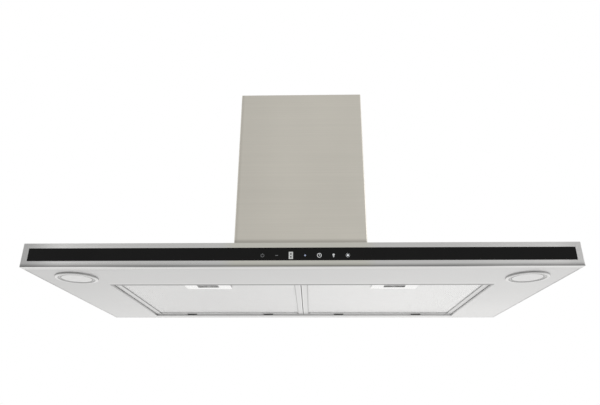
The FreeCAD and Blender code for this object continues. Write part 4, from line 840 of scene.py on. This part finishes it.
def filter_nets(side):
    """Two nets and the inner sheet of one filter, in place of its plain sheets."""
    low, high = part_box("filter_mesh_" + side)
    cup_low, cup_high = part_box("latch_slider_" + side)
    plate_low, plate_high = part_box("filter_handle_" + side)
    columns = int((high.x - low.x - 2 * EDGE_ROOM) / CELL_WIDTH)
    rows = int((high.y - low.y - 2 * EDGE_ROOM) / CELL_DEPTH)
    centre = (low + high) / 2
    cup_room = Vector((CELL_WIDTH * 1.4, 0.0, 0.0))
    common = {"Columns": columns, "Rows": rows, "Cell Width": CELL_WIDTH, "Cell Depth": CELL_DEPTH,
              "Strand Width": STRAND_WIDTH, "Strand Thickness": STRAND_THICK,
              "Cup Low": Vector((cup_low.x, low.y - 0.01, 0.0)) - cup_room,
              "Cup High": Vector((cup_high.x, plate_low.y + 0.037, 0.0)) + cup_room, "Metal": strand_metal}
    nets = []
    for layer in range(2):
        aside = Vector((0.5 * CELL_WIDTH * layer, 0.25 * CELL_DEPTH * layer, 0.0))
        height = low.z + (0.25 + 0.17 * layer) * MM
        place = Vector((centre.x, centre.y, height)) + aside
        inputs = {**common, "Middle": place, "Columns": columns - layer, "Rows": rows - layer}
        nets.append(grown("net_%s_%d" % (side, layer), NET_TREE, NET_IDS, inputs))
    data = joined("filter_net_" + side, nets, strand_metal)
    net = bpy.data.objects.new("filter_net_" + side, data)
    bpy.context.scene.collection.objects.link(net)
    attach(net, "filter_" + side)
    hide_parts("filter_mesh_" + side)
    sheet = bmesh.new()
    cup_y = plate_low.y + 0.034
    level = low.z + 0.80 * MM
    spans = [(low.x, high.x, cup_y, high.y), (low.x, cup_low.x - 3 * MM, low.y, cup_y),
             (cup_high.x + 3 * MM, high.x, low.y, cup_y)]
    for x0, x1, y0, y1 in spans:
        made = bmesh.ops.create_cube(sheet, size=1.0)
        bmesh.ops.scale(sheet, verts=made["verts"], vec=(x1 - x0, y1 - y0, 0.5 * MM))
        bmesh.ops.translate(sheet, verts=made["verts"], vec=((x0 + x1) / 2, (y0 + y1) / 2, level))
    finished("filter_inner_" + side, sheet, inner_metal, "filter_" + side)
    return columns, rows, len(data.polygons)


for side in ("left", "right"):
    print("filter", side, "columns, rows, faces:", filter_nets(side))

# %% [markdown]
# ## Filter frames, finger plates and latches
# The frame is rolled aluminium with lines along its length. The finger plate and the latch are pressed from
# smoother sheet, a touch brighter, so they show against the net.

# %% Finish the filters' metal parts
BORDER = 12.0 * MM


def border_metal(side):
    """Rolled aluminium with painted shade in a line along the border's inner edge, where it was folded over the net,
    and painted highlights in a band at its rear and near its outer edge.
    """
    made, tree, shader, here = fresh("filter_frame_aluminium_" + side, 1.0)
    low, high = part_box("filter_frame_" + side)
    along, depth, _ = spread(tree, here)
    middle = (low.x + high.x) / 2
    half = (high.x - low.x) / 2
    aside = maths(tree, "ABSOLUTE", maths(tree, "SUBTRACT", along, middle), 0.0)
    # painted shade in a line along the border's inner edge
    inner = product(tree, span(tree, aside, half - BORDER - 0.004, half - BORDER - 0.002),
                    span(tree, aside, half - BORDER + 0.0022, half - BORDER + 0.0012))
    # painted highlights: a band at the rear (painted_rear_light) and a faint one near the outer edge
    painted_rear_light = span(tree, depth, high.y - 0.022, high.y - 0.019)
    outer = product(tree, span(tree, aside, half - 0.0028, half - 0.0020),
                    span(tree, aside, half, half - 0.0008, 0.6, 1.0))
    shade = maths(tree, "SUBTRACT", 1.0, maths(tree, "MULTIPLY", inner, 0.42))
    light = maths(tree, "ADD", maths(tree, "MULTIPLY", outer, 0.10), maths(tree, "MULTIPLY", painted_rear_light, 0.32))
    factor = maths(tree, "ADD", shade, light)
    grain = group_node(tree, GRAIN, {"Lines per Metre": (60.0, 60.0, 700.0), "Tone Depth": 0.05,
                                     "Cloud Depth": 0.05, "Roughness": 0.30, "Roughness Depth": 0.08},
                       {"Coordinates": here, "Metal": toned(tree, (0.70, 0.70, 0.70), factor)})
    feed(tree, shader, grain)
    return made


plate_metal = steel("finger_plate_aluminium", (0.93, 0.93, 0.93), width_lines, 0.26, tone=0.03)
latch_metal = steel("latch_aluminium", (0.92, 0.92, 0.92), width_lines, 0.34, tone=0.05)
spring_wire = steel("spring_wire", (0.70, 0.70, 0.69), (900.0, 900.0, 900.0), 0.25, tone=0.05)
for side in ("left", "right"):
    dress(border_metal(side), "filter_frame_" + side)
    dress(plate_metal, "filter_handle_" + side)
    dress(latch_metal, "latch_slider_" + side)
    dress(spring_wire, "latch_spring_" + side)
dress(spring_wire, "touch_springs")
print("filter metals ready")

# %% [markdown]
# ## Lamps
# Each lamp is a spun ring round a disc of frosted glass. Spinning leaves rings about the lamp's own middle, so
# the grain there reads the distance from that middle instead of the plain coordinates. The ring carries painted
# shade where it meets the glass and at its outer rim. The glass is milky, with fine moulded rings on its face that
# spread the light, and a thin line of painted shade, standing in for a groove, runs round its frosted middle.

# %% Finish the lamps


def distance_from(tree, here, middle):
    """The distance of a point from an upright axis."""
    away = add(tree, "ShaderNodeVectorMath", {1: (middle.x, middle.y, 0.0)}, {0: here}, operation="SUBTRACT")
    flat = add(tree, "ShaderNodeVectorMath", {1: (1.0, 1.0, 0.0)}, {0: away.outputs[0]}, operation="MULTIPLY")
    return add(tree, "ShaderNodeVectorMath", None, {0: flat.outputs[0]}, operation="LENGTH").outputs["Value"]


def spun_metal(name, middle, reach, metal):
    made, tree, shader, here = fresh(name, 1.0)
    away = distance_from(tree, here, middle)
    upright = add(tree, "ShaderNodeSeparateXYZ", None, {0: here}).outputs["Z"]
    turned = add(tree, "ShaderNodeCombineXYZ", None, {"X": away, "Z": upright}).outputs[0]
    low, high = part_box("lamp_lens_left")
    lens_r = (high.x - low.x) / 2
    # painted shade on the ring where it meets the glass and at its outer rim
    painted_groove_shade = product(tree, span(tree, away, lens_r - 0.0012, lens_r - 0.0006),
                     span(tree, away, lens_r + 0.0010, lens_r + 0.0004))
    painted_rim_shade = span(tree, away, reach - 0.0010, reach - 0.0003)
    shade = maths(tree, "SUBTRACT", 1.0, maths(tree, "MULTIPLY", maths(tree, "MAXIMUM", painted_groove_shade, painted_rim_shade), 0.5))
    grain = group_node(tree, GRAIN, {"Lines per Metre": (1800.0, 0.0, 1800.0), "Tone Depth": 0.06,
                                     "Cloud Depth": 0.04, "Roughness": 0.28, "Roughness Depth": 0.08},
                       {"Coordinates": turned, "Metal": toned(tree, metal, shade)})
    feed(tree, shader, grain)
    return made


def frosted_glass(name, middle):
    made, tree, shader, here = fresh(name, 0.0, coat_weight=0.6, coat_roughness=0.10)
    away = distance_from(tree, here, middle)
    rings = maths(tree, "SINE", maths(tree, "MULTIPLY", away, 2 * math.pi / (1.6 * MM)), 0.0)
    frost = add(tree, "ShaderNodeTexNoise", {"Scale": 2500.0, "Detail": 1.0}, {"Vector": here}).outputs[0]
    rough = add(tree, "ShaderNodeMapRange", {"To Min": 0.35, "To Max": 0.60}, {"Value": frost}).outputs[0]
    middle_part = span(tree, away, 0.0256, 0.0250, 0.66, 0.93)
    # a thin line of painted shade, standing in for a groove, round the frosted middle
    line = product(tree, span(tree, away, 0.0244, 0.0250), span(tree, away, 0.0266, 0.0260))
    tone = maths(tree, "MULTIPLY", middle_part, maths(tree, "SUBTRACT", 1.0, maths(tree, "MULTIPLY", line, 0.62)))
    colour = add(tree, "ShaderNodeCombineColor", None, {0: tone, 1: tone, 2: tone}).outputs[0]
    bump = add(tree, "ShaderNodeBump", {"Strength": 0.5, "Distance": 0.0002}, {"Height": rings})
    tree.links.new(colour, shader.inputs["Base Color"])
    tree.links.new(rough, shader.inputs["Roughness"])
    tree.links.new(bump.outputs[0], shader.inputs["Normal"])
    return made


for side in ("left", "right"):
    ring_low, ring_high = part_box("lamp_bezel_" + side)
    middle = (ring_low + ring_high) / 2
    reach = (ring_high.x - ring_low.x) / 2
    dress(spun_metal("lamp_ring_" + side, middle, reach, (0.74, 0.74, 0.74)), "lamp_bezel_" + side)
    dress(frosted_glass("lamp_glass_" + side, middle), "lamp_lens_" + side)
cast_metal = steel("cast_aluminium", (0.55, 0.56, 0.57), (500.0, 500.0, 500.0), 0.55, tone=0.12, dust=0.25)
dress(cast_metal, "lamp_housing_left", "lamp_housing_right")
print("lamps ready")

# %% [markdown]
# ## What is hidden in the canopy and the chimney
# With a filter dropped open, or from above, the insides show: galvanised sheet with its frosty crystals, black
# moulded parts of the blower, bright zinc screws and green boards. Galvanised sheet is a Voronoi cell pattern,
# because zinc sets in flat crystals, each with its own tilt and its own grey.

# %% Finish the galvanised sheet


def galvanised():
    made, tree, shader, here = fresh("galvanised_sheet", 1.0)
    cells = add(tree, "ShaderNodeTexVoronoi", {"Scale": 95.0}, {"Vector": here}, feature="F1")
    grey = add(tree, "ShaderNodeSeparateColor", None, {0: cells.outputs["Color"]}).outputs[0]
    tone = add(tree, "ShaderNodeMapRange", {"To Min": 0.46, "To Max": 0.66}, {"Value": grey}).outputs[0]
    cold = maths(tree, "MULTIPLY", tone, 1.03)
    colour = add(tree, "ShaderNodeCombineColor", None, {0: tone, 1: tone, 2: cold}).outputs[0]
    rough = add(tree, "ShaderNodeMapRange", {"To Min": 0.38, "To Max": 0.55}, {"Value": grey}).outputs[0]
    dust = group_node(tree, DUST, {"Amount": 0.35}, {"Coordinates": here, "Color": colour, "Roughness": rough})
    feed(tree, shader, dust)
    bump = add(tree, "ShaderNodeBump", {"Strength": 0.25, "Distance": 0.0002}, {"Height": grey})
    tree.links.new(bump.outputs[0], shader.inputs["Normal"])
    return made


dress(galvanised(), "ceiling_plate", "upper_posts", "lower_posts", "blower_cabinet", "motor_bracket")
zinc = steel("bright_zinc", (0.72, 0.72, 0.70), (400.0, 400.0, 400.0), 0.28, tone=0.10)
dress(zinc, "clamp_bolts", "frame_screws", "upper_cover_screws", "lower_cover_screws", "canopy_screws",
      "impeller_nut")
print("sheet and screws ready")

# %% Finish the blower and the electrics
casing_black = plastic("casing_black", (0.030, 0.030, 0.032), 0.48, dust=0.20)
wheel_black = plastic("wheel_black", (0.022, 0.022, 0.024), 0.40)
collar_black = plastic("collar_black", (0.045, 0.045, 0.047), 0.45, dust=0.20)
flap_grey = plastic("flap_grey", (0.20, 0.20, 0.21), 0.50, dust=0.25)
box_white = plastic("box_white", (0.70, 0.69, 0.66), 0.42, tone=0.04)
gland_black = plastic("gland_black", (0.035, 0.035, 0.035), 0.55)
soft_rubber = plastic("soft_rubber", (0.018, 0.018, 0.018), 0.75, pits=900.0)
cable_sleeve = plastic("cable_sleeve", (0.62, 0.62, 0.60), 0.55, tone=0.05)
number_window = plastic("number_window", (0.02, 0.02, 0.02), 0.20, tone=0.05)
motor_steel = steel("motor_steel", (0.55, 0.56, 0.58), (700.0, 30.0, 30.0), 0.38, tone=0.08, dust=0.15)
shaft_steel = steel("shaft_steel", (0.66, 0.66, 0.66), (900.0, 20.0, 20.0), 0.20, tone=0.06)
dress(casing_black, "scroll_casing", "inlet_ring_left", "inlet_ring_right")
dress(wheel_black, "impeller_hub", "impeller_blades")
dress(collar_black, "outlet_collar")
dress(flap_grey, "damper_flap_front", "damper_flap_back")
dress(box_white, "control_box", "control_box_cover", "run_capacitor")
dress(gland_black, "mains_gland")
dress(soft_rubber, "motor_bushes")
dress(cable_sleeve, "lamp_leads", "motor_lead", "touch_lead")
dress(number_window, "display_module")
dress(motor_steel, "motor")
dress(shaft_steel, "motor_shaft", "damper_pin")
print("blower and electrics ready")

# %% [markdown]
# ## Circuit boards
# A board is green lacquer over copper tracks. Tracks run in steps and straight lines, so a brick pattern laid
# small and turned gives a fair likeness: its joints are the tracks, a little lighter and raised under the lacquer.

# %% Finish the boards


def board_green():
    made, tree, shader, here = fresh("board_green", 0.0, coat_weight=0.5, coat_roughness=0.15)
    tracks = add(tree, "ShaderNodeTexBrick", {"Color1": (0.015, 0.10, 0.045, 1.0), "Color2": (0.02, 0.12, 0.055, 1.0),
                                              "Mortar": (0.06, 0.24, 0.11, 1.0), "Scale": 60.0, "Mortar Size": 0.03,
                                              "Brick Width": 0.6, "Row Height": 0.2}, {"Vector": here})
    grain = add(tree, "ShaderNodeTexNoise", {"Scale": 700.0}, {"Vector": here}).outputs[0]
    rough = add(tree, "ShaderNodeMapRange", {"To Min": 0.30, "To Max": 0.45}, {"Value": grain}).outputs[0]
    bump = add(tree, "ShaderNodeBump", {"Strength": 0.3, "Distance": 0.0001}, {"Height": tracks.outputs["Fac"]})
    tree.links.new(tracks.outputs["Color"], shader.inputs["Base Color"])
    tree.links.new(rough, shader.inputs["Roughness"])
    tree.links.new(bump.outputs[0], shader.inputs["Normal"])
    return made


dress(board_green(), "touch_board", "control_board", "lamp_boards")
print("boards ready")

# %% [markdown]
# ## The floor
# The floor is pale and matt, with a very slow change of tone, so that it is plain but not dead.

# %% Finish the floor


def pale_floor():
    made, tree, shader, here = fresh("pale_floor", 0.0)
    slow = add(tree, "ShaderNodeTexNoise", {"Scale": 0.7, "Detail": 2.0}, {"Vector": here}).outputs[0]
    tone = add(tree, "ShaderNodeMapRange", {"To Min": 0.80, "To Max": 0.84}, {"Value": slow}).outputs[0]
    colour = add(tree, "ShaderNodeCombineColor", None, {0: tone, 1: tone, 2: tone}).outputs[0]
    tree.links.new(colour, shader.inputs["Base Color"])
    shader.inputs["Roughness"].default_value = 0.8
    return made


floor.data.materials.append(pale_floor())
print("floor ready")
